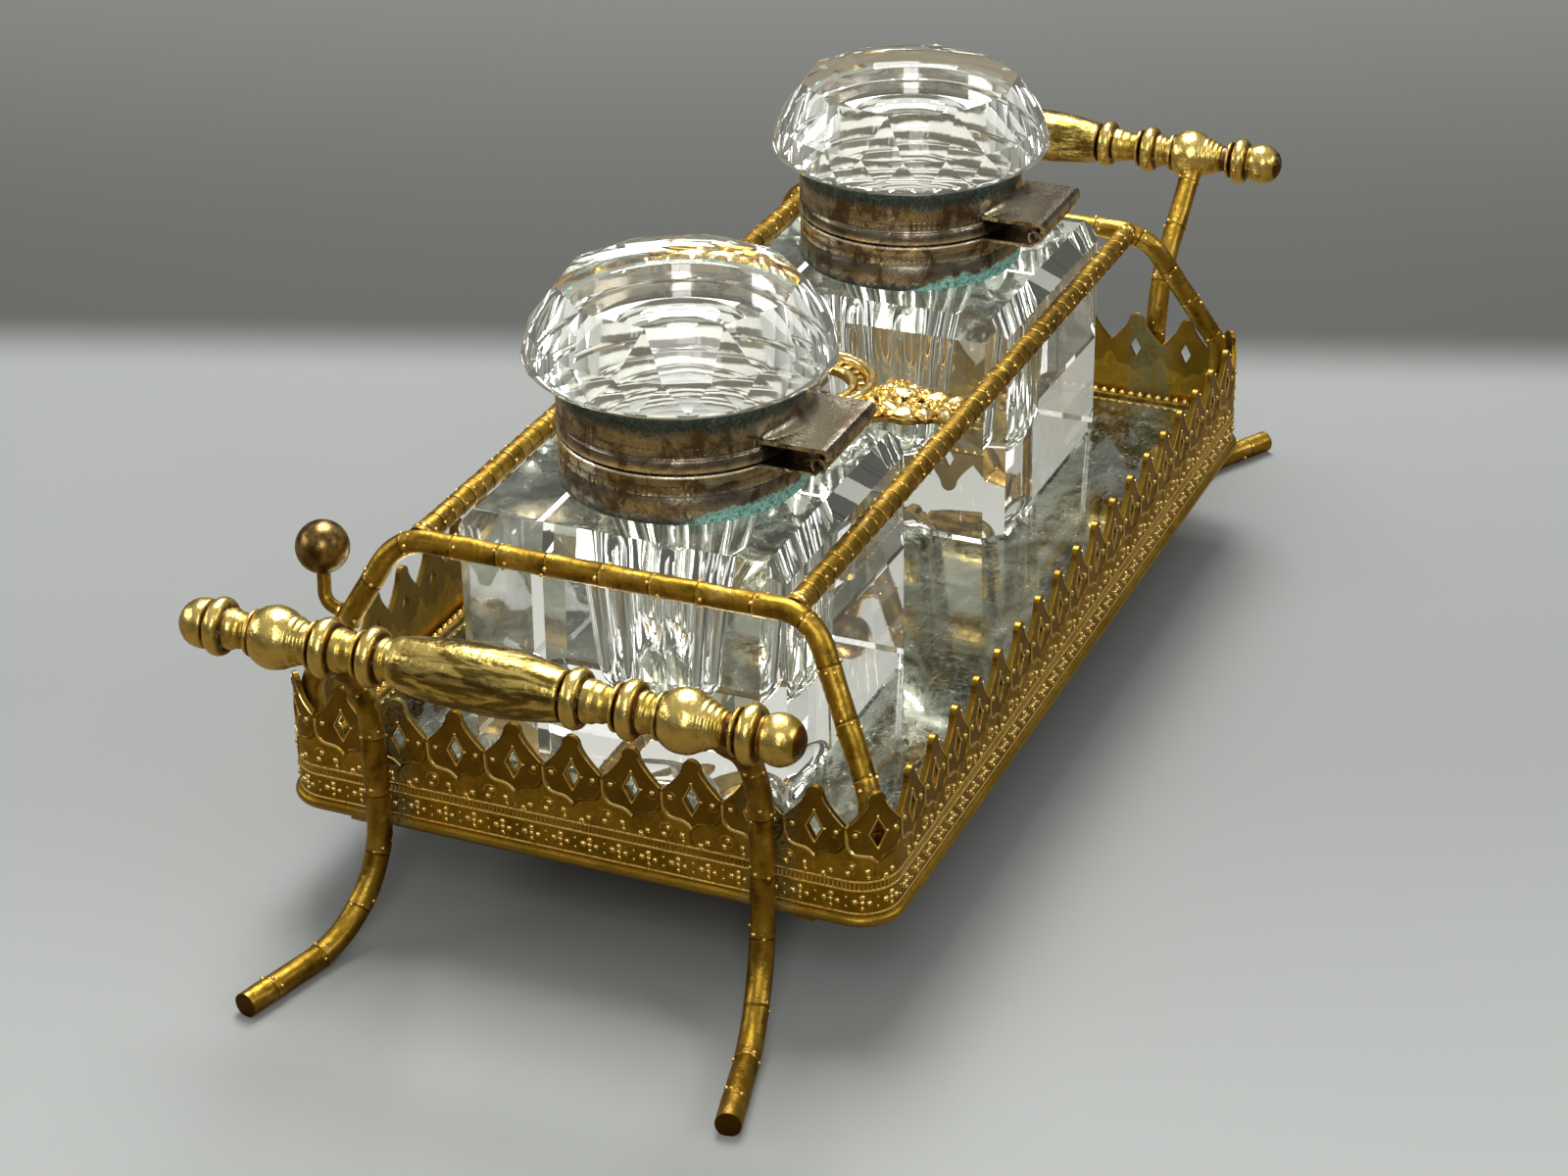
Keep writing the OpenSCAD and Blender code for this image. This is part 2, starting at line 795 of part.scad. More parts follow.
module centre_ring() {
    rim_round_z = ring_rim_h - ring_rim_w / 2;
    color(GILT)
        translate([0, 0, ring_z])
            rotate_extrude()
                union() {
                    translate([ring_hole_r, 0])
                        square([ring_out_r - ring_hole_r - ring_rim_w / 2, ring_t]);
                    translate([ring_hole_r, 0])
                        square([ring_lip_w, ring_lip_h]);
                    translate([ring_out_r - ring_rim_w, 0])
                        square([ring_rim_w, rim_round_z]);
                    translate([ring_out_r - ring_rim_w / 2, rim_round_z])
                        circle(ring_rim_w / 2);
                }
}

// Flowers of a spray: place across as a share of the plate's half width there,
// place from the ring (0) to the rail (1), and radius
blooms = [[0, 0.17, 2.6], [-0.6, 0.18, 2.1], [0.6, 0.18, 2.1], [-0.38, 0.4, 2], [0.38, 0.4, 2],
    [0, 0.6, 1.9], [-0.36, 0.77, 1.5], [0.36, 0.77, 1.5]];

// Place of a flower on its plate
function bloom_at(b) = [
    b.x * (spray_hw + (spray_rail_hw - spray_hw) * b.y),
    ring_out_r + (rail_y - ring_out_r) * b.y];

// Cast spray of leaves and flowers on a tapering plate
module centre_spray(side) {
    ring_in = 1;
    color(GILT)
        placed(1, side)
            difference() {
                translate([0, 0, ring_z]) {
                    linear_extrude(ring_t)
                        polygon([[-spray_hw, ring_out_r - ring_in], [spray_hw, ring_out_r - ring_in],
                            [spray_rail_hw, rail_y], [-spray_rail_hw, rail_y]]);
                    for (b = blooms)
                        translate([bloom_at(b).x, bloom_at(b).y, ring_t])
                            sphere(b.z);
                }
                cylinder(h = ring_z, r = 2 * rail_y);
                translate([0, 0, ring_z - ring_t])
                    cylinder(h = rail_z, r = ring_out_r);
                rod([-hoop_x, rail_y, rail_z], [hoop_x, rail_y, rail_z], rod_r);
            }
}

// ---- inkwells, each on its own axis: at = 1 near, -1 far ----

module at_well(at) {
    translate([at * well_x, 0, 0])
        children();
}

// Outline of the ink pit: x is the radius, y the height
module pit_2d() {
    pit_z = floor_z + well_floor;
    difference() {
        polygon([[0, pit_z], [pit_r, pit_z], [mouth_r, well_top - well_bevel_h],
            [mouth_r, neck_top + 1], [0, neck_top + 1]]);
        difference() {
            translate([pit_r - pit_round, pit_z])
                square([pit_round + 1, pit_round]);
            translate([pit_r - pit_round, pit_z + pit_round])
                circle(pit_round);
            translate([0, pit_z])
                square([pit_r - pit_round, pit_round]);
        }
    }
}

module crystal_body(at) {
    h = well_w / 2;
    bevel_z = well_top - well_bevel_h;
    beyond = well_w / 4;
    color(CRYSTAL)
        at_well(at)
            difference() {
                union() {
                    translate([-h, -h, floor_z])
                        cube([well_w, well_w, well_h]);
                    translate([0, 0, well_top - eps])
                        cylinder(h = neck_glass_h + eps, r = neck_glass_r);
                }
                for (a = [0 : 90 : 270])
                    rotate([0, 0, a]) {
                        rotate([90, 0, 0])
                            linear_extrude(2 * well_w, center = true)
                                polygon([[h, bevel_z], [h + beyond, bevel_z],
                                    [h + beyond, well_top + eps], [h - well_bevel_w, well_top + eps]]);
                        rotate([0, 0, 45])
                            translate([sqrt(2) * h - well_chamfer / sqrt(2), -h, floor_z - 1])
                                cube([beyond, well_w, well_h + 2]);
                    }
                rotate_extrude()
                    pit_2d();
            }
}

// Ring of plaster between glass and metal
module cement_ring(z, h) {
    translate([0, 0, z])
        difference() {
            cylinder(h = h, r = cement_out);
            translate([0, 0, -1])
                cylinder(h = h + 2, r = cement_in);
        }
}

module neck_cement(at) {
    color(CEMENT)
        at_well(at)
            cement_ring(well_top + fit_gap, neck_glass_h - fit_gap);
}

// Collar ring with a lip across one end
module collar(z, h, lip_z) {
    difference() {
        translate([0, 0, z])
            cylinder(h = h, r = collar_r);
        translate([0, 0, z - 1])
            cylinder(h = h + 2, r = mouth_r);
        translate([0, 0, z - 1])
            cylinder(h = lip_z - z + 1, r = collar_r - collar_t);
        translate([0, 0, lip_z + lip_t])
            cylinder(h = z + h, r = collar_r - collar_t);
    }
}

module lower_collar(at) {
    color(NICKEL)
        at_well(at)
            collar(well_top, lower_top - well_top, lower_top - lip_t);
}

module upper_collar(at) {
    color(NICKEL)
        at_well(at)
            collar(upper_z, upper_h, upper_z);
}

// Knuckle of the hinge between two places along the pin
module knuckle(x0, x1) {
    translate([x0, pin_y, pin_z])
        rotate([0, 90, 0])
            cylinder(h = x1 - x0, r = knuckle_r);
}

module pin_bore(r) {
    translate([-leaf_w, pin_y, pin_z])
        rotate([0, 90, 0])
            cylinder(h = 2 * leaf_w, r = r);
}

// Leaf soldered to the lower collar, with the two outer knuckles
module hinge_lower_leaf(at) {
    inner = mid_knuckle_l / 2 + knuckle_gap;
    color(NICKEL)
        at_well(at)
            difference() {
                union() {
                    translate([-leaf_w / 2, 0, lower_top - leaf_t])
                        cube([leaf_w, pin_y, leaf_t]);
                    for (s = [0, 1])
                        mirror([s, 0, 0]) {
                            knuckle(inner, leaf_w / 2);
                            translate([inner, pin_y - knuckle_r, lower_top - leaf_t])
                                cube([leaf_w / 2 - inner, knuckle_r, pin_lift + leaf_t]);
                        }
                }
                cylinder(h = 3 * well_h, r = collar_r);
                translate([-inner, pin_y - knuckle_r - knuckle_gap, well_top])
                    cube([2 * inner, 2 * knuckle_r + 1, well_h]);
                pin_bore(pin_r);
            }
}

// Leaf soldered to the upper collar, with the middle knuckle
module hinge_upper_leaf(at) {
    half = mid_knuckle_l / 2;
    leaf_z = pin_z + knuckle_r + knuckle_gap;
    color(NICKEL)
        at_well(at)
            difference() {
                union() {
                    translate([-leaf_w / 2, 0, leaf_z])
                        cube([leaf_w, pin_y + leaf_past, leaf_t]);
                    knuckle(-half, half);
                    translate([-half, pin_y - knuckle_r / 2, pin_z])
                        cube([2 * half, knuckle_r, leaf_z - pin_z + eps]);
                }
                cylinder(h = 3 * well_h, r = collar_r);
                pin_bore(pin_r + pin_gap);
            }
}

module hinge_pin(at) {
    color("dimgray")
        at_well(at)
            translate([-leaf_w / 2, pin_y, pin_z])
                rotate([0, 90, 0])
                    cylinder(h = leaf_w, r = pin_r - fit_gap);
}

module lid_cement(at) {
    color(CEMENT)
        at_well(at)
            cement_ring(spigot_z, upper_h - lip_t - fit_gap);
}

// Faceted mushroom of crystal, with a spigot down into the upper collar
module lid_crystal(at) {
    color(CRYSTAL)
        at_well(at) {
            translate([0, 0, spigot_z])
                cylinder(h = upper_top - spigot_z + 2 * fit_gap, r = neck_glass_r);
            hull() {
                translate([0, 0, upper_top + fit_gap])
                    cylinder(h = eps, r = collar_r - collar_t);
                translate([0, 0, lid_z])
                    rotate([0, 0, 90 / table_sides])
                        cylinder(h = eps, r = lid_r, $fn = 2 * table_sides);
                translate([0, 0, lid_z + lid_row_1])
                    cylinder(h = eps, r = shoulder_r, $fn = 2 * table_sides);
                translate([0, 0, table_z - eps])
                    rotate([0, 0, 90 / table_sides])
                        cylinder(h = eps, r = table_r, $fn = table_sides);
            }
        }
}

base_plate();
base_tabs();
backing_board();
mirror_plate();
gallery_end(1);  // gallery_near_end
gallery_end(-1);  // gallery_far_end
gallery_side(-1);  // gallery_front
gallery_side(1);  // gallery_back
bead_strip_end(1);  // bead_strip_near
bead_strip_end(-1);  // bead_strip_far
bead_strip_side(-1);  // bead_strip_front
bead_strip_side(1);  // bead_strip_back
hoop(1);  // hoop_near
hoop(-1);  // hoop_far
rail(-1);  // rail_front
rail(1);  // rail_back
handle(1);  // handle_near
handle(-1);  // handle_far
leg(1, -1);  // leg_near_front
leg(1, 1);  // leg_near_back
leg(-1, -1);  // leg_far_front
leg(-1, 1);  // leg_far_back
pen_rest_rod();
pen_rest_ball();
centre_ring();
centre_spray(-1);  // centre_spray_front
centre_spray(1);  // centre_spray_back
crystal_body(1);  // near_crystal_body
neck_cement(1);  // near_neck_cement
lower_collar(1);  // near_lower_collar
hinge_lower_leaf(1);  // near_hinge_lower_leaf
hinge_pin(1);  // near_hinge_pin
hinge_upper_leaf(1);  // near_hinge_upper_leaf
upper_collar(1);  // near_upper_collar
lid_cement(1);  // near_lid_cement
lid_crystal(1);  // near_lid_crystal
crystal_body(-1);  // far_crystal_body
neck_cement(-1);  // far_neck_cement
lower_collar(-1);  // far_lower_collar
hinge_lower_leaf(-1);  // far_hinge_lower_leaf
hinge_pin(-1);  // far_hinge_pin
hinge_upper_leaf(-1);  // far_hinge_upper_leaf
upper_collar(-1);  // far_upper_collar
lid_cement(-1);  // far_lid_cement
lid_crystal(-1);  // far_lid_crystal
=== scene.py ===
"""Finished surfaces of a gilt desk inkstand: a mirror tray on bamboo legs, and two crystal wells."""

import math

import bpy
import bmesh
import numpy as np
from bpy.props import FloatProperty, FloatVectorProperty, IntProperty, PointerProperty
from mathutils import Matrix, Vector


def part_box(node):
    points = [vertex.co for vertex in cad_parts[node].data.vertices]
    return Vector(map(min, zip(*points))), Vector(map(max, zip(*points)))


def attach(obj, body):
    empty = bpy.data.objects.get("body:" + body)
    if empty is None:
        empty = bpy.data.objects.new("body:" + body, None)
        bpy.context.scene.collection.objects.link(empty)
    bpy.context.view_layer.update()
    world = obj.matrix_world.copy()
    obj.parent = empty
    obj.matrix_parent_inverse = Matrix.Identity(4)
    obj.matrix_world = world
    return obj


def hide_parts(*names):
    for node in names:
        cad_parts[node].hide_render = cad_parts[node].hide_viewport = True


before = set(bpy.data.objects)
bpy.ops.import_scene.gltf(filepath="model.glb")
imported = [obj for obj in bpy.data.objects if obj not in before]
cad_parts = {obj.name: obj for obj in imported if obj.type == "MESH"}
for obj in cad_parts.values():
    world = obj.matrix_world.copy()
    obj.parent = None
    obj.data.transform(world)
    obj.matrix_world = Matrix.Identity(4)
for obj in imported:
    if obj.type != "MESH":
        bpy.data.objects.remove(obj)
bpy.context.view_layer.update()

bl_info = {
    "name": "Desk Inkstand",
    "version": (1, 0, 0),
    "blender": (4, 5, 0),
    "location": "View3D > Sidebar > Inkstand",
    "description": "Builds the finished surfaces of a gilt desk inkstand with crystal wells",
    "category": "Add Mesh",
}

MM = 0.001
ENDS = {"near": 1, "far": -1}
SIDES = {"front": -1, "back": 1}
SEEDS = {"hoop": 11, "rail": 21, "leg": 31, "spray": 51, "handle": 61}
# points nearer to each other than this are one point
SAME_SPOT = 1e-4
# turned pieces stop this far from their axis
AXIS_R = 0.02


# ---- places taken from the frame, in millimetres ----


def node_box(name):
    low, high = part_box(name)
    return np.array(low) / MM, np.array(high) / MM


def round_size(name):
    """Foot of the axis, radius or half width, bottom and top of a node that is centred on a well."""
    low, high = node_box(name)
    return np.array(((low[0] + high[0]) / 2, 0, 0)), (high[0] - low[0]) / 2, low[2], high[2]


# gallery: the strip and its pointed edge
RIM_OUT = 0.85
CORNER_R = 5.7
STRIP_H = 15.3
POINT_H = 5.5
TIP_R = 1.3
OGEE = 1.4
DIAMOND_W, DIAMOND_H = 2.0, 3.9
POINTS_LONG, POINTS_SHORT = 18, 9

_, tray_high = node_box("gallery_near_end")
tray_low, _ = node_box("gallery_far_end")
WALL_X = tray_high[0] - RIM_OUT
WALL_Y = tray_high[1] - RIM_OUT
ARC_X = WALL_X - CORNER_R
ARC_Y = WALL_Y - CORNER_R
TRAY_Z = tray_low[2]
# from the outside of the gallery to the edge of the mirror
MIRROR_IN = 1.1

# hoops and rails
ROD_R = 1.75
KNOT_OUT = 0.2
HOOP_OUT = 3.0
HOOP_FOOT_L = 7.0
HOOP_BEND_R = 7.5
HOOP_FOOT_BEND_R = 2.4
hoop_low, hoop_high = node_box("hoop_near")
rail_low, rail_high = node_box("rail_back")
RAIL_Y = (rail_low[1] + rail_high[1]) / 2
RAIL_Z = (rail_low[2] + rail_high[2]) / 2
HOOP_X = hoop_low[0] + ROD_R + KNOT_OUT
HOOP_Y = RAIL_Y + HOOP_OUT
FOOT_X = hoop_high[0] - ROD_R - KNOT_OUT
FOOT_Y = hoop_high[1] - ROD_R - KNOT_OUT
FOOT_Z = hoop_low[2] + HOOP_FOOT_L

# legs and handles
LEG_R = 1.85
LEG_TOP_BEND = 20.0
LEG_TOP_ANGLE = math.radians(50.0)
LEG_FOOT_BEND = 16.0
LEG_FOOT_L = 13.0
LEG_SPLAY = {"near": math.radians(13.8), "far": math.radians(29.0)}
FOOT_FLAT = 0.1
leg_low, _ = node_box("leg_near_back")
handle_low, handle_high = node_box("handle_near")
LEG_X = tray_high[0] + LEG_R
LEG_Y = leg_low[1] + LEG_R + KNOT_OUT
HANDLE_X = (handle_low[0] + handle_high[0]) / 2
HANDLE_Z = (handle_low[2] + handle_high[2]) / 2
HANDLE_HALF = handle_high[1]


# ---- meshes ----


class Shape:
    """Points, faces and a mark per point of wear and painted highlight, gathered for one piece. Lengths are
    millimetres.
    """

    def __init__(self):
        self.points = []
        self.faces = []
        self.wear_and_highlight = []

    def add(self, points, faces, wear_and_highlight=0.5):
        start = len(self.points)
        points = np.asarray(points, float).reshape(-1, 3)
        self.points.extend(map(tuple, points))
        self.faces.extend([tuple(int(i) + start for i in face) for face in faces])
        self.wear_and_highlight.extend(np.broadcast_to(np.asarray(wear_and_highlight, float).ravel(), len(points)).tolist())

    def mapped(self, move):
        """The same shape with every point passed through move, an array to array function."""
        out = Shape()
        out.points = list(map(tuple, move(np.array(self.points))))
        out.faces = list(self.faces)
        out.wear_and_highlight = list(self.wear_and_highlight)
        return out

    def join(self, other):
        start = len(self.points)
        self.points.extend(other.points)
        self.faces.extend([tuple(i + start for i in face) for face in other.faces])
        self.wear_and_highlight.extend(other.wear_and_highlight)


def grid_faces(rows, columns, closed=True):
    """Quads between rows of points, each row closed into a loop or open."""
    last = columns if closed else columns - 1
    return [(r * columns + c, r * columns + (c + 1) % columns,
             (r + 1) * columns + (c + 1) % columns, (r + 1) * columns + c)
            for r in range(rows - 1) for c in range(last)]


def capped_faces(rows, columns):
    """Closed rows of points with a flat cap on the first and on the last."""
    last = (rows - 1) * columns
    return grid_faces(rows, columns) + [tuple(range(columns))[::-1], tuple(range(last, last + columns))]


def rim_of(rows, columns):
    """The loop of points along the edge of an open grid."""
    return ([j for j in range(columns)]
            + [i * columns + columns - 1 for i in range(1, rows)]
            + [(rows - 1) * columns + j for j in range(columns - 2, -1, -1)]
            + [i * columns for i in range(rows - 2, 0, -1)])


def sheet_faces(rows, columns):
    """Top and underside of an open grid, whose underside follows its top in the list of points."""
    count = rows * columns
    top = grid_faces(rows, columns, closed=False)
    return top + [tuple(i + count for i in face[::-1]) for face in top]


def build(name, shape, material, body, replaced=(), angle=35.0, weld=SAME_SPOT):
    """Turns a shape into a finished object that rides on a body."""
    mesh = bpy.data.meshes.new(name)
    mesh.from_pydata((np.array(shape.points) * MM).tolist(), [], shape.faces)
    mark = mesh.attributes.new("wear_and_highlight", "FLOAT", "POINT")
    mark.data.foreach_set("value", shape.wear_and_highlight)
    work = bmesh.new()
    work.from_mesh(mesh)
    bmesh.ops.remove_doubles(work, verts=work.verts, dist=weld * MM)
    bmesh.ops.dissolve_degenerate(work, edges=work.edges, dist=SAME_SPOT * MM)
    bmesh.ops.recalc_face_normals(work, faces=work.faces)
    work.to_mesh(mesh)
    work.free()
    mesh.polygons.foreach_set("use_smooth", [True] * len(mesh.polygons))
    mesh.set_sharp_from_angle(angle=math.radians(angle))
    mesh.materials.append(material)
    piece = bpy.data.objects.new(name, mesh)
    bpy.context.scene.collection.objects.link(piece)
    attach(piece, body)
    if replaced:
        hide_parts(*replaced)
    return piece


def frames_along(path):
    """Two unit vectors square to a path at each of its points, carried along without twist."""
    tangents = np.gradient(path, axis=0)
    tangents /= np.linalg.norm(tangents, axis=1)[:, None]
    start = np.array([0.0, 0.0, 1.0]) if abs(tangents[0][2]) < 0.9 else np.array([0.0, 1.0, 0.0])
    side = np.cross(tangents[0], start)
    side /= np.linalg.norm(side)
    sides = [side]
    for t in tangents[1:]:
        side = side - t * side.dot(t)
        side = side / np.linalg.norm(side)
        sides.append(side)
    sides = np.array(sides)
    return sides, np.cross(tangents, sides), tangents


def tube(path, radii, sides=12, wear_and_highlight=0.5):
    """A round bar along a path. radii and wear are one value, one per point or one per point and side."""
    path = np.asarray(path, float)
    count = len(path)
    across, over, _ = frames_along(path)
    turn = np.linspace(0, 2 * math.pi, sides, endpoint=False)

    def all_round(values):
        if np.ndim(values):
            values = np.asarray(values, float).reshape(count, -1)
        return np.broadcast_to(values, (count, sides))

    ring = np.cos(turn)[None, :, None] * across[:, None, :] + np.sin(turn)[None, :, None] * over[:, None, :]
    points = path[:, None, :] + ring * all_round(radii)[:, :, None]
    shape = Shape()
    shape.add(points, capped_faces(count, sides), all_round(wear_and_highlight))
    return shape


def rounded_path(corners, radii, step=0.8):
    """Points along straight lines between corners, with an arc of the given radius at each inner corner."""
    corners = [np.array(c, float) for c in corners]
    stops = [corners[0]]
    points = []

    def straight(a, b):
        steps = max(1, int(round(np.linalg.norm(b - a) / step)))
        return [a + (b - a) * i / steps for i in range(steps)]

    for before, corner, after, radius in zip(corners, corners[1:], corners[2:], radii):
        back = (before - corner) / np.linalg.norm(before - corner)
        ahead = (after - corner) / np.linalg.norm(after - corner)
        half = math.acos(max(-1.0, min(1.0, back.dot(ahead)))) / 2
        reach = radius / math.tan(half)
        middle = corner + (back + ahead) / np.linalg.norm(back + ahead) * (radius / math.sin(half))
        first = corner + back * reach
        last = corner + ahead * reach
        points += straight(stops[-1], first)
        sweep = math.pi - 2 * half
        steps = max(3, int(round(radius * sweep / step)))
        out = (first - middle) / radius
        along = -back
        for turn in (sweep * i / steps for i in range(steps)):
            points.append(middle + radius * (out * math.cos(turn) + along * math.sin(turn)))
        stops.append(last)
    points += straight(stops[-1], corners[-1]) + [corners[-1]]
    return np.array(points)


def resample(path, places):
    """Points of a path at given distances from its start."""
    lengths = np.concatenate([[0], np.cumsum(np.linalg.norm(np.diff(path, axis=0), axis=1))])
    return np.stack([np.interp(places, lengths, path[:, k]) for k in range(3)], axis=1)


def path_length(path):
    return float(np.linalg.norm(np.diff(path, axis=0), axis=1).sum())


def lathe(profile, sides, wear_and_highlight=0.5, centre=(0, 0, 0), axis="Z"):
    """Turns a profile of (radius, height) points round an axis."""
    profile = np.asarray(profile, float)
    turn = np.linspace(0, 2 * math.pi, sides, endpoint=False)
    r, h = profile[:, 0][:, None], profile[:, 1][:, None]
    a, b, c = r * np.cos(turn), r * np.sin(turn), np.broadcast_to(h, (len(profile), sides))
    points = np.stack([a, b, c] if axis == "Z" else [a, c, -b], axis=-1) + np.array(centre, float)
    marks = np.broadcast_to(np.asarray(wear_and_highlight, float).reshape(-1, 1) if np.ndim(wear_and_highlight) else wear_and_highlight,
                            (len(profile), sides))
    shape = Shape()
    faces = grid_faces(len(profile), sides)
    shape.add(points, faces, marks)
    return shape


def dome(centre, out, radius, height=None, sides=8, rings=3, wear_and_highlight=0.9):
    """A small rounded boss standing on a surface whose outward direction is given."""
    height = radius if height is None else height
    out = np.array(out, float) / np.linalg.norm(out)
    start = np.array([0.0, 0.0, 1.0]) if abs(out[2]) < 0.9 else np.array([1.0, 0.0, 0.0])
    across = np.cross(out, start)
    across /= np.linalg.norm(across)
    over = np.cross(out, across)
    turn = np.linspace(0, 2 * math.pi, sides, endpoint=False)
    points = []
    for i in range(rings):
        lift = math.pi / 2 * i / rings
        ring = np.cos(turn)[:, None] * across + np.sin(turn)[:, None] * over
        points.extend(np.array(centre) + ring * radius * math.cos(lift) + out * height * math.sin(lift))
    points.append(np.array(centre) + out * height)
    faces = grid_faces(rings, sides)
    top = rings * sides
    faces += [((rings - 1) * sides + c, (rings - 1) * sides + (c + 1) % sides, top) for c in range(sides)]
    faces.append(tuple(range(sides))[::-1])
    shape = Shape()
    shape.add(points, faces, wear_and_highlight)
    return shape


# ---- shader maths ----


class Wire:
    """A value on its way through a shader, which adds its Math nodes when it is used in sums."""

    def __init__(self, graph, socket):
        self.graph = graph
        self.socket = socket

    def _sum(self, operation, *others):
        return self.graph.add("ShaderNodeMath", {"operation": operation}, dict(enumerate((self,) + others)))

    def __add__(self, other):
        return self._sum("ADD", other)

    def __radd__(self, other):
        return self._sum("ADD", other)

    def __sub__(self, other):
        return self._sum("SUBTRACT", other)

    def __rsub__(self, other):
        return self.graph.add("ShaderNodeMath", {"operation": "SUBTRACT"}, {0: other, 1: self})

    def __mul__(self, other):
        return self._sum("MULTIPLY", other)

    def __rmul__(self, other):
        return self._sum("MULTIPLY", other)

    def __abs__(self):
        return self._sum("ABSOLUTE")

    def fraction(self):
        """What is left above the whole number below."""
        return self._sum("FRACT")

    def least(self, other):
        return self._sum("MINIMUM", other)

    def most(self, other):
        return self._sum("MAXIMUM", other)

    def rise(self, low, high):
        """0 below low, 1 above high and a smooth step between."""
        sockets = {"Value": self, "From Min": low, "From Max": high, "To Min": 0.0, "To Max": 1.0}
        return self.graph.add("ShaderNodeMapRange", {"interpolation_type": "SMOOTHSTEP"}, sockets)

    def scaled(self, low, high):
        """Spreads 0 to 1 over low to high."""
        return self * (high - low) + low


class Graph:
    """The node tree of one material or world, wired by name."""

    def __init__(self, tree):
        self.tree = tree
        tree.nodes.clear()

    def add(self, kind, settings=None, sockets=None, out=0):
        """Adds a node with its settings, fills its sockets with values or wires, and gives one output."""
        node = self.tree.nodes.new(kind)
        for key, value in (settings or {}).items():
            setattr(node, key, value)
        for key, value in (sockets or {}).items():
            socket = node.inputs[key]
            if isinstance(value, Wire):
                self.tree.links.new(value.socket, socket)
            else:
                socket.default_value = value
        return Wire(self, node.outputs[out]) if node.outputs else node

    def mix(self, low, high, mask):
        """From colour low to colour high as mask goes from 0 to 1."""
        def colour(value):
            return value if isinstance(value, Wire) else (*value, 1.0)
        sockets = {0: mask, 6: colour(low), 7: colour(high)}
        return self.add("ShaderNodeMix", {"data_type": "RGBA"}, sockets, out=2)

    def place(self, scale=1.0):
        """The object's own coordinates in millimetres, times scale."""
        spot = self.add("ShaderNodeTexCoord", out="Object")
        return self.add("ShaderNodeVectorMath", {"operation": "SCALE"}, {0: spot, "Scale": scale / MM})

    def split(self, vector, axis):
        return self.add("ShaderNodeSeparateXYZ", {}, {0: vector}, out=axis)

    def noise(self, size, detail=3.0, rough=0.55, stretch=None, warp=0.0):
        """Soft noise whose lumps are about size millimetres across."""
        spot = self.place(1.0 / size)
        if stretch:
            spot = self.add("ShaderNodeVectorMath", {"operation": "MULTIPLY"}, {0: spot, 1: stretch})
        sockets = {"Vector": spot, "Scale": 1.0, "Detail": detail, "Roughness": rough, "Distortion": warp}
        return self.add("ShaderNodeTexNoise", {}, sockets)

    def wear_and_highlight(self):
        return self.add("ShaderNodeAttribute", {"attribute_name": "wear_and_highlight"}, out="Fac")

    def bump(self, height, depth, under=None):
        """A normal for a height of 0 to 1 that stands for depth millimetres."""
        sockets = {"Height": height, "Strength": 1.0, "Distance": depth * MM}
        if under is not None:
            sockets["Normal"] = under
        return self.add("ShaderNodeBump", {}, sockets)

    def surface(self, **sockets):
        """The Principled shader, with underscores in the names of its sockets standing for spaces."""
        values = {}
        for key, value in sockets.items():
            if isinstance(value, tuple) and len(value) == 3:
                value = (*value, 1.0)
            values[key.replace("_", " ")] = value
        return self.add("ShaderNodeBsdfPrincipled", {}, values, out="BSDF")

    def finish(self, shader, kind="ShaderNodeOutputMaterial"):
        self.add(kind, {}, {"Surface": shader})


def material(name, recipe):
    """Makes a material once and hands out the same one after that."""
    title = f"inkstand_{name}"
    if title in bpy.data.materials:
        return bpy.data.materials[title]
    made = bpy.data.materials.new(title)
    made.use_nodes = True
    graph = Graph(made.node_tree)
    graph.finish(recipe(graph))
    return made


# ---- finishes ----

# gilding, what lies on it, and a reflection painted on the baluster
SPECK_BROWN = (0.045, 0.028, 0.010)
PAINTED_REFLECTION_OLIVE = (0.14, 0.09, 0.012)
NECK_BROWN = (0.12, 0.045, 0.012)
NECK_RESIDUE = (0.62, 0.66, 0.56)
TURNED_BRIGHT = (0.90, 0.66, 0.20)
TURNED_GILT = (0.54, 0.36, 0.06)
CAST_BRIGHT = (1.0, 0.76, 0.32)
CAST_GILT = (0.72, 0.49, 0.13)
CAST_DARK = (0.20, 0.11, 0.02)
RELIEF_BRIGHT = (1.0, 0.74, 0.26)
RELIEF_GILT = (0.64, 0.41, 0.08)
RELIEF_DARK = (0.16, 0.085, 0.01)
GROUND_OLIVE = (0.25, 0.145, 0.011)
GROUND_GILT = (0.60, 0.37, 0.045)
SHIELD_BROWN = (0.115, 0.062, 0.011)
LOWER_EDGE_GILT = (0.60, 0.41, 0.12)
GREEN_CRUST = (0.13, 0.16, 0.085)
# bronze, sheet brass and board
BRONZE_DARK = (0.11, 0.065, 0.02)
BRONZE_PALE = (0.42, 0.27, 0.09)
BRONZE_SPECK = (0.03, 0.02, 0.015)
SHEET_DULL = (0.22, 0.14, 0.05)
SHEET_BRASS = (0.52, 0.37, 0.15)
BOARD_DARK = (0.26, 0.17, 0.09)
BOARD_PALE = (0.42, 0.30, 0.18)
# mirror, crystal and plaster
SILVER_DULL = (0.25, 0.26, 0.20)
SILVER_CLEAR = (0.42, 0.44, 0.37)
FOXING = (0.17, 0.18, 0.12)
MIRROR_EDGE = (0.02, 0.06, 0.05)
CRYSTAL_TINT = (0.99, 0.995, 0.975)
CRYSTAL_GLOW = (0.97, 1.0, 0.85)
CRYSTAL_SHADOW = (0.93, 0.96, 0.95, 1.0)
PLASTER_STAIN = (0.09, 0.065, 0.04)
PLASTER_PALE = (0.84, 0.82, 0.76)
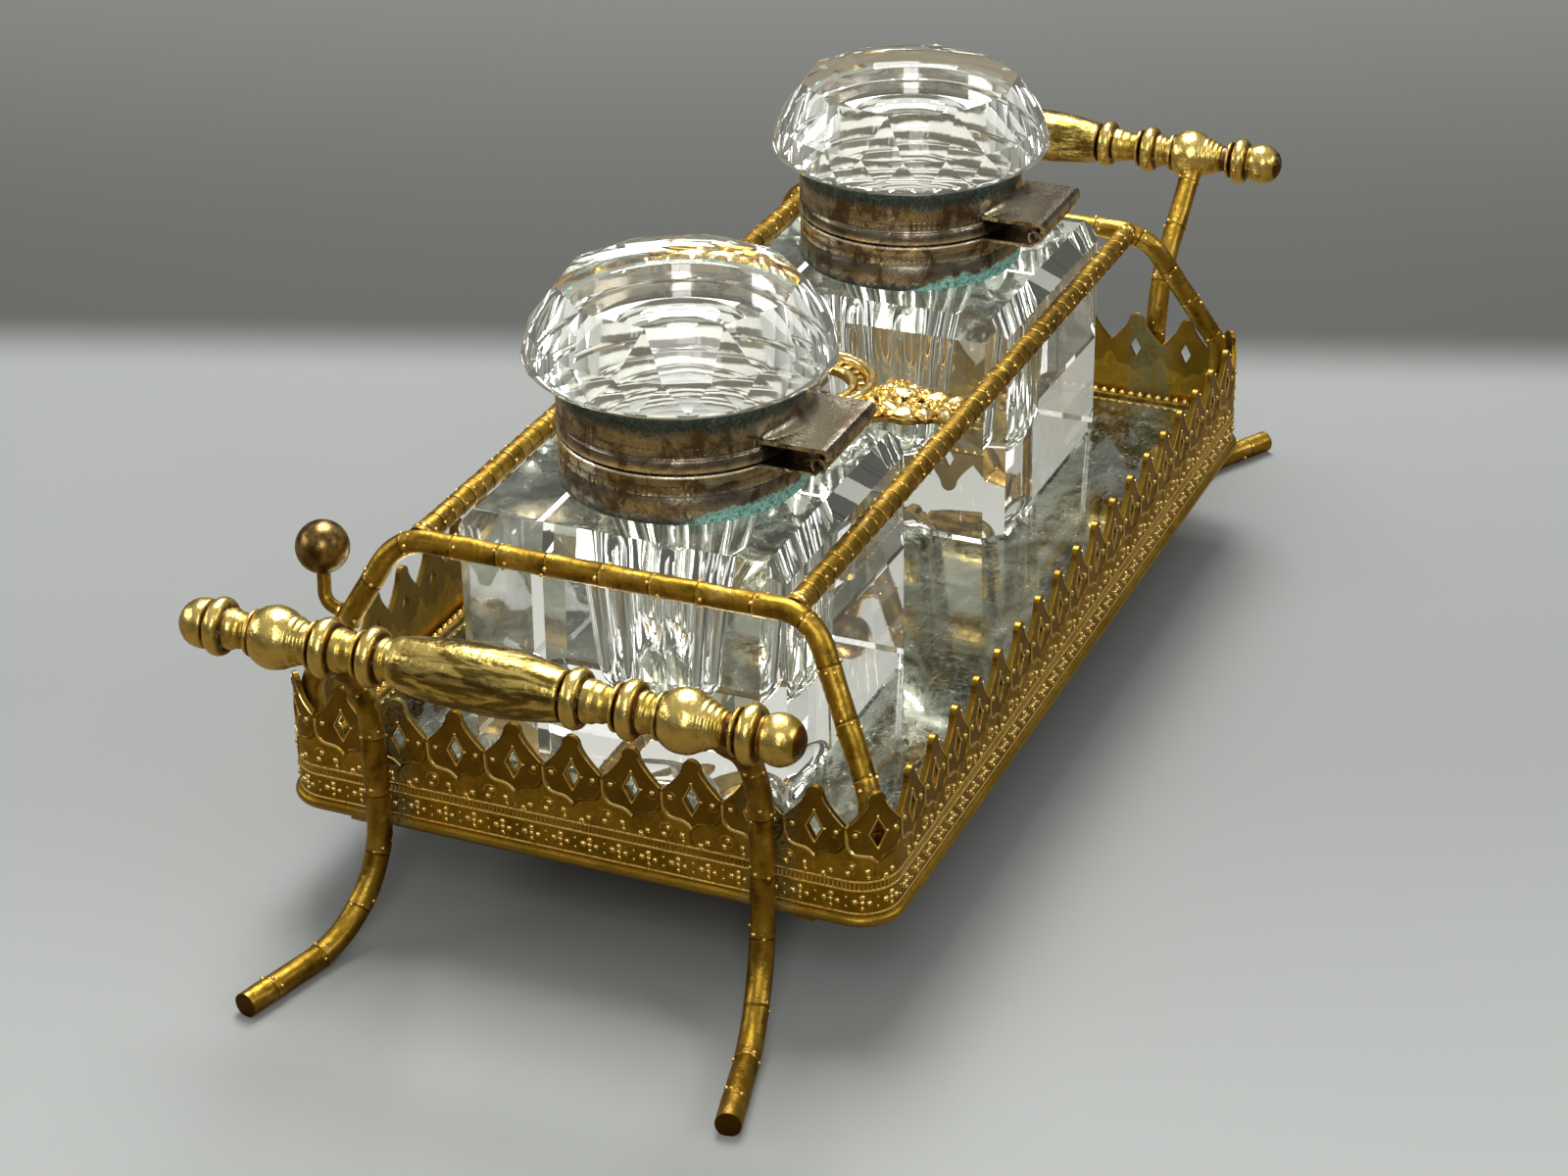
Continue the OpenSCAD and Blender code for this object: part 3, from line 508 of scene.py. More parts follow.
# nickel, its crust and the hinge wire
NICKEL = (0.42, 0.365, 0.27)
NICKEL_WORN = (0.11, 0.07, 0.04)
NICKEL_RUBBED = (0.92, 0.82, 0.60)
GROOVE_DIRT = (0.035, 0.025, 0.018)
NICKEL_PIT = (0.05, 0.035, 0.025)
CRUST_DARK = (0.018, 0.024, 0.019)
CRUST_TEAL = (0.05, 0.13, 0.115)
VERDIGRIS_DEEP = (0.12, 0.36, 0.31)
VERDIGRIS_PALE = (0.42, 0.74, 0.64)
WIRE_STEEL = (0.32, 0.31, 0.30)
WIRE_RUST = (0.16, 0.09, 0.05)
# weights of a collar without verdigris
NO_GREEN = (0.0, 0.0, 0.0)


def looks():
    """The user's colours of the gilding and glow of the crystal."""
    return bpy.context.scene.inkstand_finish


def gilt(bright, middle, dark, tarnish=0.45, polish=0.22, crust=None):
    """Worn gilding: bright where it is rubbed and where a highlight is painted into its wear mark, brown
    where it is not, and mottled and dented between.
    """
    def recipe(g):
        wear_and_highlight = g.wear_and_highlight()
        cloud = g.noise(4.6, detail=5.0, rough=0.62, warp=0.5)
        speck = g.noise(0.8, detail=4.0, rough=0.7)
        # the wear mark brings in the bright colour where the gilding is rubbed, and also where a highlight
        # is painted on the stamped relief
        toward_bright = (wear_and_highlight + (cloud - 0.5) * 0.8 + (speck - 0.5) * 0.4).rise(0.1, 0.95)
        body = g.mix(dark, middle, toward_bright.rise(0.0, 0.5))
        body = g.mix(body, bright, toward_bright.rise(0.5, 1.0))
        brown = cloud.rise(0.55, 0.72) * tarnish * (1.0 - wear_and_highlight.rise(0.75, 1.0))
        body = g.mix(body, dark, brown)
        body = g.mix(body, SPECK_BROWN, speck.rise(0.66, 0.75) * tarnish)
        if crust:
            body = crust(g, body, cloud, speck)
        rough = (0.46 - toward_bright * (0.46 - polish) + (speck - 0.5) * 0.2).most(0.1)
        dents = g.noise(1.7, detail=2.0)
        grain = g.noise(0.3, detail=3.0)
        normal = g.bump(grain, 0.025, g.bump(dents, 0.16))
        return g.surface(Base_Color=body, Metallic=1.0, Roughness=rough, Normal=normal)
    return recipe


def bamboo_material():
    look = looks()
    recipe = gilt(tuple(look.bright), tuple(look.gilt), tuple(look.patina), 0.6, 0.3)
    return material("bamboo_gilt", recipe)


def turned_material():
    """Turned gilding: brown in the grooves, pale residue on the necks, and olive streaks along the baluster
    that are a painted reflection.
    """
    def residue(g, body, cloud, speck):
        y = g.split(g.place(), "Y")
        # painted reflection: dark olive streaks along the middle of the baluster stand in for the room
        # reflected in it
        streak = g.noise(1.3, detail=4.0, rough=0.6, stretch=(1.0, 0.16, 1.0), warp=0.4)
        middle = 1.0 - abs(y).rise(11.0, 12.6)
        body = g.mix(body, PAINTED_REFLECTION_OLIVE, middle * streak.rise(0.42, 0.56) * 0.88)
        low = 1.0 - g.wear_and_highlight().rise(0.12, 0.34)
        pale = low * cloud.rise(0.5, 0.62)
        body = g.mix(body, NECK_BROWN, low * (1.0 - cloud.rise(0.5, 0.62)) * 0.92)
        return g.mix(body, NECK_RESIDUE, pale * speck.rise(0.42, 0.6) * 0.7)

    recipe = gilt(TURNED_BRIGHT, TURNED_GILT, tuple(looks().patina), 0.6, 0.26, residue)
    return material("turned_gilt", recipe)


def cast_material():
    return material("cast_gilt", gilt(CAST_BRIGHT, CAST_GILT, CAST_DARK, 0.25, 0.18))


def relief_material():
    return material("stamped_relief", gilt(RELIEF_BRIGHT, RELIEF_GILT, RELIEF_DARK, 0.3, 0.2))


def ground_material():
    """The stamped sheet between the ornaments: olive, brown in the shields, and green beside the legs."""
    def recipe(g):
        spot = g.place()
        x, y, z = (g.split(spot, k) for k in "XYZ")
        cloud = g.noise(7.0, detail=5.0, rough=0.6, warp=0.5)
        speck = g.noise(0.7, detail=4.0, rough=0.7)
        toward_bright = (cloud * 0.6 + speck * 0.4).rise(0.32, 0.68)
        body = g.mix(GROUND_OLIVE, GROUND_GILT, toward_bright)
        at_end = abs(x).rise(ARC_X + 1.0, ARC_X + 1.6)
        # 0 under each point's middle and 1 under each valley
        end_share = abs((y * (POINTS_SHORT / 2 / ARC_Y) + 0.5).fraction() - 0.5) * 2.0
        side_share = abs((x * (POINTS_LONG / 2 / ARC_X)).fraction() - 0.5) * 2.0
        share = side_share + (end_share - side_share) * at_end
        shield = z - TRAY_Z - SHIELD_CUSP - share.rise(0.0, 0.35) * 0.95 - share.rise(0.6, 1.0) * 2.2
        body = g.mix(body, SHIELD_BROWN, shield.rise(-0.1, 0.3) * (0.25 + speck * 0.6))
        body = g.mix(LOWER_EDGE_GILT, body, (z - TRAY_Z).rise(0.2, 1.4))
        beside_leg = 1.0 - (abs(abs(y) - LEG_Y) + (cloud - 0.5) * 5.0).rise(2.2, 5.2)
        crust = beside_leg * at_end * speck.rise(0.36, 0.6) * (z - TRAY_Z).rise(0.0, 1.0)
        body = g.mix(body, GREEN_CRUST, crust * 0.85)
        rough = 0.42 - toward_bright * 0.14 + crust * 0.3
        normal = g.bump(speck, 0.06, g.bump(cloud, 0.15))
        return g.surface(Base_Color=body, Metallic=1.0 - crust * 0.7, Roughness=rough, Normal=normal)
    return material("stamped_ground", recipe)


def bronze_material():
    def recipe(g):
        cloud = g.noise(2.6, detail=5.0, rough=0.65)
        speck = g.noise(0.5, detail=3.0)
        body = g.mix(BRONZE_DARK, BRONZE_PALE, cloud.rise(0.35, 0.68))
        body = g.mix(body, BRONZE_SPECK, speck.rise(0.68, 0.76))
        return g.surface(Base_Color=body, Metallic=1.0, Roughness=0.2 + cloud * 0.22,
                         Normal=g.bump(cloud, 0.12))
    return material("dark_bronze", recipe)


def sheet_brass_material():
    def recipe(g):
        cloud = g.noise(14.0, detail=5.0, rough=0.6, warp=0.6)
        speck = g.noise(1.2, detail=3.0)
        body = g.mix(SHEET_DULL, SHEET_BRASS, (cloud * 0.7 + speck * 0.3).rise(0.35, 0.65))
        brushed = g.noise(0.5, stretch=(0.05, 1.0, 1.0))
        return g.surface(Base_Color=body, Metallic=1.0, Roughness=0.34 + cloud * 0.2,
                         Normal=g.bump(brushed, 0.02))
    return material("sheet_brass", recipe)


def board_material():
    def recipe(g):
        fibre = g.noise(1.5, detail=5.0, stretch=(0.3, 1.0, 2.0))
        body = g.mix(BOARD_DARK, BOARD_PALE, fibre)
        return g.surface(Base_Color=body, Roughness=0.85, Normal=g.bump(fibre, 0.1))
    return material("packing_board", recipe)


def mirror_material():
    """Old silvering seen through scratched glass: foxed, cloudy and dark green at the edge."""
    def recipe(g):
        spot = g.place()
        x, y = (g.split(spot, k) for k in "XY")
        cloud = g.noise(9.0, detail=6.0, rough=0.62, warp=1.2)
        fox = g.noise(2.2, detail=6.0, rough=0.7, warp=0.8)
        dust = g.noise(0.6, detail=3.0, rough=0.6)
        edge = (WALL_X - MIRROR_IN - abs(x)).least(WALL_Y - MIRROR_IN - abs(y))
        silver = g.mix(SILVER_DULL, SILVER_CLEAR, cloud.rise(0.3, 0.7))
        silver = g.mix(silver, FOXING, fox.rise(0.56, 0.7) * 0.55)
        silver = g.mix(MIRROR_EDGE, silver, edge.rise(0.2, 1.6))
        scratch = g.noise(0.7, detail=2.0, stretch=(0.06, 1.6, 1.0), warp=0.3)
        film = (cloud * 0.5 + dust * 0.5).rise(0.42, 0.66)
        metal = 1.0 - film * 0.22 - fox.rise(0.56, 0.7) * 0.35
        rough = 0.04 + film * 0.14 + fox.rise(0.5, 0.7) * 0.18 + scratch.rise(0.62, 0.7) * 0.1
        return g.surface(Base_Color=silver, Metallic=metal, Roughness=rough, Coat_Weight=0.6,
                         Coat_Roughness=0.03, Coat_IOR=1.5, Normal=g.bump(scratch, 0.004))
    return material("mirror_glass", recipe)


def crystal_material(name, glow):
    """Clear cut glass that lamps shine straight through.

    Its glow stands in for light that turns in it many times.
    """
    def recipe(g):
        haze = g.noise(6.0, detail=4.0, rough=0.6)
        speck = g.noise(0.8, detail=2.0)
        glass = g.surface(Base_Color=CRYSTAL_TINT, Roughness=haze.rise(0.6, 0.8) * 0.03,
                          IOR=1.5, Transmission_Weight=1.0, Normal=g.bump(speck, 0.0006),
                          Emission_Color=CRYSTAL_GLOW, Emission_Strength=glow)
        clear = g.add("ShaderNodeBsdfTransparent", {}, {"Color": CRYSTAL_SHADOW})
        lamp = g.add("ShaderNodeLightPath", {}, {}, out="Is Shadow Ray")
        return g.add("ShaderNodeMixShader", {}, {0: lamp, 1: glass, 2: clear})
    return material(f"{name}_crystal", recipe)


def plaster_material():
    """Old plaster, stained in rings by ink and metal."""
    def recipe(g):
        cloud = g.noise(5.0, detail=5.0, rough=0.6)
        height = g.split(g.place(), "Z") * 0.3 + (cloud - 0.5) * 0.9
        ring = abs(height.fraction() - 0.5) * 2.0
        body = g.mix(PLASTER_STAIN, PLASTER_PALE, ring.rise(0.3, 0.6))
        return g.surface(Base_Color=body, Roughness=0.8, Normal=g.bump(cloud, 0.2))
    return material("plaster", recipe)


def nickel(name, crust_z, crust_up, crust_h, green_at):
    """Worn nickel on brass, with verdigris on one side.

    A dark crust creeps crust_h up (crust_up 1) or down (-1) from the edge next to the glass, at crust_z.
    """
    def recipe(g):
        spot = g.place()
        x, y, z = (g.split(spot, k) for k in "XYZ")
        cloud = g.noise(3.6, detail=6.0, rough=0.68, warp=0.9)
        streak = g.noise(1.5, detail=4.0, stretch=(0.7, 0.7, 0.4))
        speck = g.noise(0.5, detail=4.0, rough=0.7)
        worn = (cloud * 0.65 + streak * 0.35).rise(0.44, 0.58)
        body = g.mix(NICKEL, NICKEL_WORN, worn * 0.92)
        body = g.mix(body, NICKEL_RUBBED, g.wear_and_highlight().rise(0.78, 1.0) * (1.0 - worn * 0.5))
        body = g.mix(body, GROOVE_DIRT, (1.0 - g.wear_and_highlight().rise(0.1, 0.3)) * 0.85)
        body = g.mix(body, NICKEL_PIT, speck.rise(0.58, 0.7) * 0.8)
        away = (z - crust_z) * crust_up
        dark = 1.0 - (away - crust_h + (cloud - 0.5) * 5.0 + (speck - 0.5) * 2.5).rise(-0.6, 0.8)
        side = (x * green_at[0] + y * green_at[1] + green_at[2]).rise(9.0, 16.5)
        reach = side * 2.3 - 0.35
        green = 1.0 - (away - reach + (cloud - 0.5) * 3.2 + (speck - 0.5) * 2.0).rise(-0.15, 0.4)
        green = green * (0.35 + speck.rise(0.34, 0.5) * 0.65)
        body = g.mix(body, g.mix(CRUST_DARK, CRUST_TEAL, speck.rise(0.5, 0.64)), dark * 0.92)
        body = g.mix(body, g.mix(VERDIGRIS_DEEP, VERDIGRIS_PALE, speck.rise(0.4, 0.62)), green)
        metal = 1.0 - dark * 0.4 - green * 0.6
        rough = 0.10 + worn * 0.16 + dark * 0.35 + green * 0.3 + speck * 0.08
        height = speck * 0.6 + green * 0.8 + dark * 0.35 + cloud * 0.5
        return g.surface(Base_Color=body, Metallic=metal.most(0.0), Roughness=rough.least(0.95),
                         Normal=g.bump(height, 0.1))
    return material(name, recipe)


def hinge_material():
    """Nickel with no crust on it, as the crust's edge lies far below."""
    return nickel("hinge_nickel", -1000.0, 1.0, 0.0, NO_GREEN)


def pin_material():
    def recipe(g):
        rust = g.noise(0.5, detail=4.0)
        body = g.mix(WIRE_STEEL, WIRE_RUST, rust.rise(0.45, 0.65))
        return g.surface(Base_Color=body, Metallic=1.0, Roughness=0.35 + rust * 0.2)
    return material("pin_steel", recipe)


# ---- user settings ----


class InkstandFinish(bpy.types.PropertyGroup):
    """Colours of the gilding and glow of the crystal."""

    gilt: FloatVectorProperty(name="Gilt", description="Colour of the gilding between wear and tarnish",
                              default=(0.40, 0.24, 0.028), subtype="COLOR", min=0.0, max=1.0)
    bright: FloatVectorProperty(name="Rubbed gilt", description="Colour where the gilding is rubbed bright",
                                default=(0.90, 0.58, 0.16), subtype="COLOR", min=0.0, max=1.0)
    patina: FloatVectorProperty(name="Patina", description="Colour in the hollows of the gilding",
                                default=(0.12, 0.062, 0.007), subtype="COLOR", min=0.0, max=1.0)
    well_glow: FloatProperty(name="Glow of the wells", description="Light added wherever a ray meets a well",
                             default=0.014, min=0.0, max=0.1, precision=3)
    lid_glow: FloatProperty(name="Glow of the lids", description="Light added wherever a ray meets a lid",
                            default=0.026, min=0.0, max=0.1, precision=3)


class InkstandChasing(bpy.types.PropertyGroup):
    """Sizes of the chased and stamped ornament."""

    rail_mark: FloatProperty(name="Rail marks", description="Distance between the marks on the rails, in mm",
                             default=3.05, min=2.0, max=6.0)
    hoop_mark: FloatProperty(name="Hoop marks", description="Distance between the marks on the hoops, in mm",
                             default=7.6, min=4.0, max=14.0)
    leg_mark: FloatProperty(name="Leg marks", description="Distance between the knots on the legs, in mm",
                            default=9.2, min=5.0, max=16.0)
    relief: FloatProperty(name="Relief", description="Height of the stamped ornament, in mm",
                          default=0.32, min=0.1, max=0.6)
    mill: FloatProperty(name="Milling", description="Distance between the ticks of the milled lines, in mm",
                        default=0.62, min=0.4, max=1.2)
    studs: IntProperty(name="Studs", description="Number of studs round the centre ring",
                       default=26, min=12, max=40)


class InkstandStage(bpy.types.PropertyGroup):
    """Floor and light."""

    floor: FloatProperty(name="Floor tone", description="Grey of the floor under the object",
                         default=0.36, min=0.1, max=0.9, subtype="FACTOR")
    backdrop: FloatProperty(name="Backdrop tone", description="Grey of the floor behind the object",
                            default=0.086, min=0.05, max=0.9, subtype="FACTOR")
    key: FloatProperty(name="Key light", description="Power of the main lamp, in watts",
                       default=10.5, min=0.0, max=100.0, unit="POWER")
    fill: FloatProperty(name="Fill light", description="Power of the fill lamp, in watts",
                        default=2.4, min=0.0, max=100.0, unit="POWER")


# ---- stage ----

CAMERA_AT = (0.446862, 0.190297, 0.273982)
CAMERA_AZIMUTH = math.radians(113.5199)
CAMERA_ELEVATION = math.radians(27.8088)
CAMERA_ROLL = math.radians(-0.9189)
CAMERA_LENS = 79.24
BACKDROP_AT = 0.133
BACKDROP_TURN = math.radians(4.2)
# the table top and the room as metal and crystal show them, and the tone beyond the floor
TABLE_BROWN = (0.15, 0.122, 0.075)
ROOM_WALL = (0.10, 0.10, 0.095)
ROOM_CEILING = (0.42, 0.425, 0.41)
ROOM_FLOOR = (0.26, 0.265, 0.26)
THROUGH_GLASS_LOW = (0.21, 0.205, 0.18)
THROUGH_GLASS_HIGH = (1.0, 1.01, 0.94)
BEYOND_FLOOR = (0.185, 0.19, 0.18)
FLOOR_HALF = 4.0
# tints of the floor under the object and of the backdrop behind it, near the camera and far from it; they
# are painted light, the floor lighter towards the camera and the backdrop darker at the floor's edge and
# lighter beyond
FLOOR_NEAR, FLOOR_FAR = (1.0, 1.035, 1.0), (0.72, 0.745, 0.725)
BACKDROP_NEAR, BACKDROP_FAR = (0.8, 0.82, 0.76), (1.8, 1.84, 1.72)
# name, place, height it is aimed at, width and height, setting for its power and share of that
LAMPS = (("key", (-0.36, -0.16, 0.80), 0.03, (0.42, 0.62), "key", 1.0),
         ("fill", (0.75, 0.30, 0.62), 0.03, (0.30, 0.55), "fill", 1.0),
         ("side", (-0.10, 0.75, 0.50), 0.05, (0.55, 0.12), "fill", 0.6),
         ("left", (0.25, -0.80, 0.42), 0.05, (0.60, 0.12), "fill", 0.6))


class INKSTAND_OT_stage(bpy.types.Operator):
    """Lays the floor, hangs the lamps and sets the camera"""

    bl_idname = "inkstand.stage"
    bl_label = "Stage"

    def execute(self, context):
        settings = context.scene.inkstand_stage
        self.floor(settings)
        self.world()
        self.lamps(settings)
        self.camera(context)
        return {"FINISHED"}

    def floor(self, settings):
        mesh = bpy.data.meshes.new("stage_floor")
        corners = [(x * FLOOR_HALF, y * FLOOR_HALF, 0) for x, y in ((-1, -1), (1, -1), (1, 1), (-1, 1))]
        mesh.from_pydata(corners, [], [(0, 1, 2, 3)])
        floor = bpy.data.objects.new("stage_floor", mesh)
        bpy.context.scene.collection.objects.link(floor)
        heading = CAMERA_AZIMUTH - BACKDROP_TURN
        away = Vector((math.sin(heading), -math.cos(heading), 0.0))

        def tinted(tone, tint):
            return tuple(tone * part for part in tint)

        near, far = (tinted(settings.floor, tint) for tint in (FLOOR_NEAR, FLOOR_FAR))
        low, high = (tinted(settings.backdrop, tint) for tint in (BACKDROP_NEAR, BACKDROP_FAR))

        def recipe(g):
            spot = g.place(MM)
            x, y = (g.split(spot, k) for k in "XY")
            depth = -BACKDROP_AT - (x * away.x + y * away.y)
            cloud = g.add("ShaderNodeTexNoise", {}, {"Vector": spot, "Scale": 3.0, "Detail": 2.0})
            tone = cloud.scaled(0.94, 1.06)
            # painted light: the backdrop lightens away from the floor's edge, and the floor lightens towards
            # the camera
            behind = g.mix(low, high, depth.rise(0.0, 0.35))
            ahead = g.mix(far, near, 1.0 - depth.rise(-0.29, -0.13))
            body = g.mix(ahead, behind, depth.rise(-0.014, 0.014))
            body = g.add("ShaderNodeVectorMath", {"operation": "SCALE"}, {0: body, "Scale": tone})
            # straight on the floor is pale, and in the metal and the crystal it is a brown table top
            straight = g.add("ShaderNodeLightPath", {}, {}, out="Is Camera Ray")
            body = g.mix(TABLE_BROWN, body, straight)
            return g.surface(Base_Color=body, Roughness=0.75, Specular_IOR_Level=0.2)

        mesh.materials.append(material("stage_floor", recipe))

    def world(self):
        """A dim room with a paler ceiling, paler still through glass, and plain beyond the floor."""
        world = bpy.data.worlds.new("studio")
        bpy.context.scene.world = world
        world.use_nodes = True
        g = Graph(world.node_tree)
        direction = g.add("ShaderNodeTexCoord", out="Generated")
        up = g.split(direction, "Z")
        room = g.mix(ROOM_WALL, ROOM_CEILING, up.rise(0.1, 0.9))
        room = g.mix(ROOM_FLOOR, room, up.rise(-0.2, 0.05))
        through = g.add("ShaderNodeLightPath", {}, {}, out="Is Transmission Ray")
        room = g.mix(room, g.mix(THROUGH_GLASS_LOW, THROUGH_GLASS_HIGH, up.rise(0.2, 0.75)), through)
        plain = g.add("ShaderNodeLightPath", {}, {}, out="Is Camera Ray")
        tone = g.mix(room, BEYOND_FLOOR, plain)
        backdrop = g.add("ShaderNodeBackground", {}, {"Color": tone, "Strength": 1.0})
        g.finish(backdrop, "ShaderNodeOutputWorld")

    def lamps(self, settings):
        for name, place, aim_z, size, power, share in LAMPS:
            self.lamp(name, place, (0, 0, aim_z), size, getattr(settings, power) * share)

    def lamp(self, name, place, target, size, power):
        light = bpy.data.lights.new(name, "AREA")
        light.shape = "RECTANGLE"
        light.size, light.size_y = size
        light.energy = power
        lamp = bpy.data.objects.new(name, light)
        lamp.location = place
        lamp.rotation_euler = (Vector(target) - Vector(place)).to_track_quat("-Z", "Y").to_euler()
        bpy.context.scene.collection.objects.link(lamp)

    def camera(self, context):
        camera = bpy.data.cameras.new("camera")
        camera.lens = CAMERA_LENS
        camera.sensor_width = 36.0
        camera.sensor_fit = "HORIZONTAL"
        camera.clip_start = 0.01
        eye = bpy.data.objects.new("camera", camera)
        context.scene.collection.objects.link(eye)
        az, el = CAMERA_AZIMUTH, CAMERA_ELEVATION
        back = Vector((math.sin(az) * math.cos(el), -math.cos(az) * math.cos(el), math.sin(el)))
        right = Vector((0, 0, 1)).cross(back).normalized()
        up = back.cross(right)
        c, s = math.cos(CAMERA_ROLL), math.sin(CAMERA_ROLL)
        turned = Matrix((c * right + s * up, -s * right + c * up, back)).transposed()
        eye.matrix_world = Matrix.Translation(CAMERA_AT) @ turned.to_4x4()
        context.scene.camera = eye
        context.scene.view_settings.view_transform = "Standard"


# ---- tray ----


def dress(node, finish):
    """Gives a CAD node its finish."""
    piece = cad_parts[node]
    piece.data.materials.clear()
    piece.data.materials.append(finish)
    return piece


class INKSTAND_OT_tray(bpy.types.Operator):
    """Finishes the bottom sheet, the packing board and the mirror"""

    bl_idname = "inkstand.tray"
    bl_label = "Tray"

    def execute(self, context):
        dress("base_plate", sheet_brass_material())
        dress("base_tabs", sheet_brass_material())
        dress("backing_board", board_material())
        dress("mirror_plate", mirror_material())
        return {"FINISHED"}


# ---- stamped gallery ----

RIBS = (0.95, 1.95, 5.6, 7.0)
MILLED = ((1.15, 1.75), (5.85, 6.75))
ROSETTE_V = 3.75
# the outer bosses of a rosette: across, up and radius
ROSETTE = ((-1.0, 0.06, 0.44), (1.0, -0.06, 0.38), (0.04, 0.86, 0.42), (0.02, -0.88, 0.3))
SHIELD_CUSP = 10.0
DIAMOND_V = STRIP_H - 0.8
BOSS_SWELL = 1.12
BEAD_FOOT = 0.55
BEAD_R, BEAD_SPACING = 0.62, 1.62


def bar(path_uv, radius, wear_and_highlight=0.85, sides=6):
    """A raised line along points (u, v) of the strip, half sunk in its face."""
    path = np.array([[u, v, 0.0] for u, v in path_uv])
    return tube(path, radius, sides, wear_and_highlight)


def curve_through(points, steps=5):
    """A smooth run of points through the given ones."""
    points = [np.array(p, float) for p in points]
    ends = [2 * points[0] - points[1]] + points + [2 * points[-1] - points[-2]]
    out = []
    for a, b, c, d in zip(ends, ends[1:], ends[2:], ends[3:]):
        for i in range(steps):
            t = i / steps
            out.append(0.5 * (2 * b + (c - a) * t + (2 * a - 5 * b + 4 * c - d) * t ** 2
                              + (3 * b - a - 3 * c + d) * t ** 3))
    out.append(points[-1])
    return [tuple(p) for p in out]


def ring_uv(u, v, radius, start, turn, steps=12):
    """Points of the strip along part of a ring, from start on by nearly turn degrees."""
    angles = [math.radians(start + turn * i / steps) for i in range(steps)]
    return [(u + radius * math.cos(a), v + radius * math.sin(a)) for a in angles]


def point_ornament(half, lift, valley=True):
    """Ornament of one point and of the strip below it, centred on u = 0. half is half the pitch."""
    out = Shape()
    wide = half / 4.5

    def boss(u, v, radius, wear_and_highlight=0.95):
        height = lift * min(1.3, radius / 0.3)
        out.join(dome((u, v, -0.05), (0, 0, 1), radius * BOSS_SWELL, height, 10, 3, wear_and_highlight))

    # rosettes of five bosses, with pairs of dots between them
    for u in (-0.5 * half, 0.5 * half):
        boss(u, ROSETTE_V, 0.33)
        for across, up, radius in ROSETTE:
            boss(u + across * wide, ROSETTE_V + up, radius)
    for u in (0.0, half):
        boss(u, ROSETTE_V - 0.72, 0.21, 0.8)
        boss(u, ROSETTE_V + 0.72, 0.19, 0.8)
    for s in (-1, 1):
        # shield under the point: down from each valley, round, and in to a cusp
        edge = curve_through([(s * (half - 0.06), STRIP_H - 0.25), (s * (half - 0.14), 13.8),
                              (s * (half - 0.25), 12.6), (s * (half - 1.15), 11.35),
                              (s * half * 0.27, 10.95), (0.0, SHIELD_CUSP)])
        # painted highlight: the left edge of each shield is thicker, and painted brighter than the right one
        # where the light catches it
        out.join(bar(edge, 0.25 if s < 0 else 0.2, 0.9 if s < 0 else 0.3))
        # boss in a half ring beside the diamond
        u = s * half * 0.7
        start, turn = (200, 240) if s > 0 else (160, -240)
        out.join(bar(ring_uv(u, DIAMOND_V - 0.2, 0.85, start, turn), 0.12, 0.35))
        boss(u, DIAMOND_V - 0.1, 0.42)
        # burr along the edge of the point
        heights = np.linspace(0.15, POINT_H - TIP_R, 9)
        flank = [(s * (flank_width(h, half) - 0.13), STRIP_H + h) for h in heights]
        # painted highlight: the burr on each point's right flank is painted brighter than the one on its
        # left
        out.join(bar(flank, 0.13, 0.95 if s > 0 else 0.4, 5))
    # stem from the shield's cusp to the milled line
    out.join(bar(curve_through([(0, SHIELD_CUSP), (-0.28, 9.3), (-0.3, 8.4), (0.1, 7.5)]), 0.17, 0.4))
    # frame of the pierced diamond, with a dot at its top and one on its right
    w, h = DIAMOND_W / 2 + 0.3, DIAMOND_H / 2 + 0.55
    frame_uv = [(0, DIAMOND_V - h), (w, DIAMOND_V), (0, DIAMOND_V + h), (-w, DIAMOND_V), (0, DIAMOND_V - h)]
    for a, b in zip(frame_uv, frame_uv[1:]):
        out.join(bar([a, b], 0.15, 0.75, 6))
    boss(0.0, DIAMOND_V + h + 0.15, 0.24)
    boss(w + 0.2, DIAMOND_V + 0.05, 0.22)
    # in the lobes beside the stem: a slanting pair on the right, one dot over a smaller one on the left
    for u, v, radius in ((1.25, 7.62, 0.42), (2.3, 8.3, 0.4), (-1.5, 8.65, 0.44), (-1.35, 7.75, 0.28)):
        boss(u * wide, v, radius)
    if valley:
        # under the valley: a half ring with two dots in it
        out.join(bar(ring_uv(half + 0.55, 9.1, 1.0, -60, 260), 0.14, 0.5))
        boss(half + 0.85, 9.45, 0.42)
        boss(half + 0.25, 8.3, 0.4)
    return out


def flank_width(h, half):
    """Half the width of a point at height h above the valley."""
    return TIP_R + (half - TIP_R) * np.clip(1 - h / (POINT_H - TIP_R), 0, 1) ** OGEE


def strip_lines(length, mill):
    """Ribs and milled ticks along the strip, centred on u = 0."""
    out = Shape()
    steps = max(2, int(length / 0.9))
    us = np.linspace(-length / 2, length / 2, steps + 1)
    for v in RIBS:
        out.join(bar([(u, v) for u in us], 0.17, 0.9, 6))
    count = int(length / mill)
    for low, high in MILLED:
        for i in range(count):
            u = (i + 0.5) * length / count - length / 2
            out.join(bar([(u, low), (u, high)], 0.14, 0.65, 4))
    return out


def end_place(at):
    """Where a point (u, v, w) of an end strip lies, w being the distance out of its face."""
    quarter = CORNER_R * math.pi / 2

    def move(p):
        u, v, w = p[:, 0], p[:, 1], p[:, 2]
        over = np.clip(np.abs(u) - ARC_Y, 0, None)
        turn = over / CORNER_R
        radius = CORNER_R + w
        flat_x, flat_y = WALL_X + w, u
        arc_x = ARC_X + radius * np.cos(turn)
        arc_y = np.sign(u) * (ARC_Y + radius * np.sin(turn))
        bent = over > 0
        x = np.where(bent, arc_x, flat_x)
        y = np.where(bent, arc_y, flat_y)
        return np.stack([at * x, at * y, TRAY_Z + v], axis=1)
    return move, 2 * (ARC_Y + quarter)


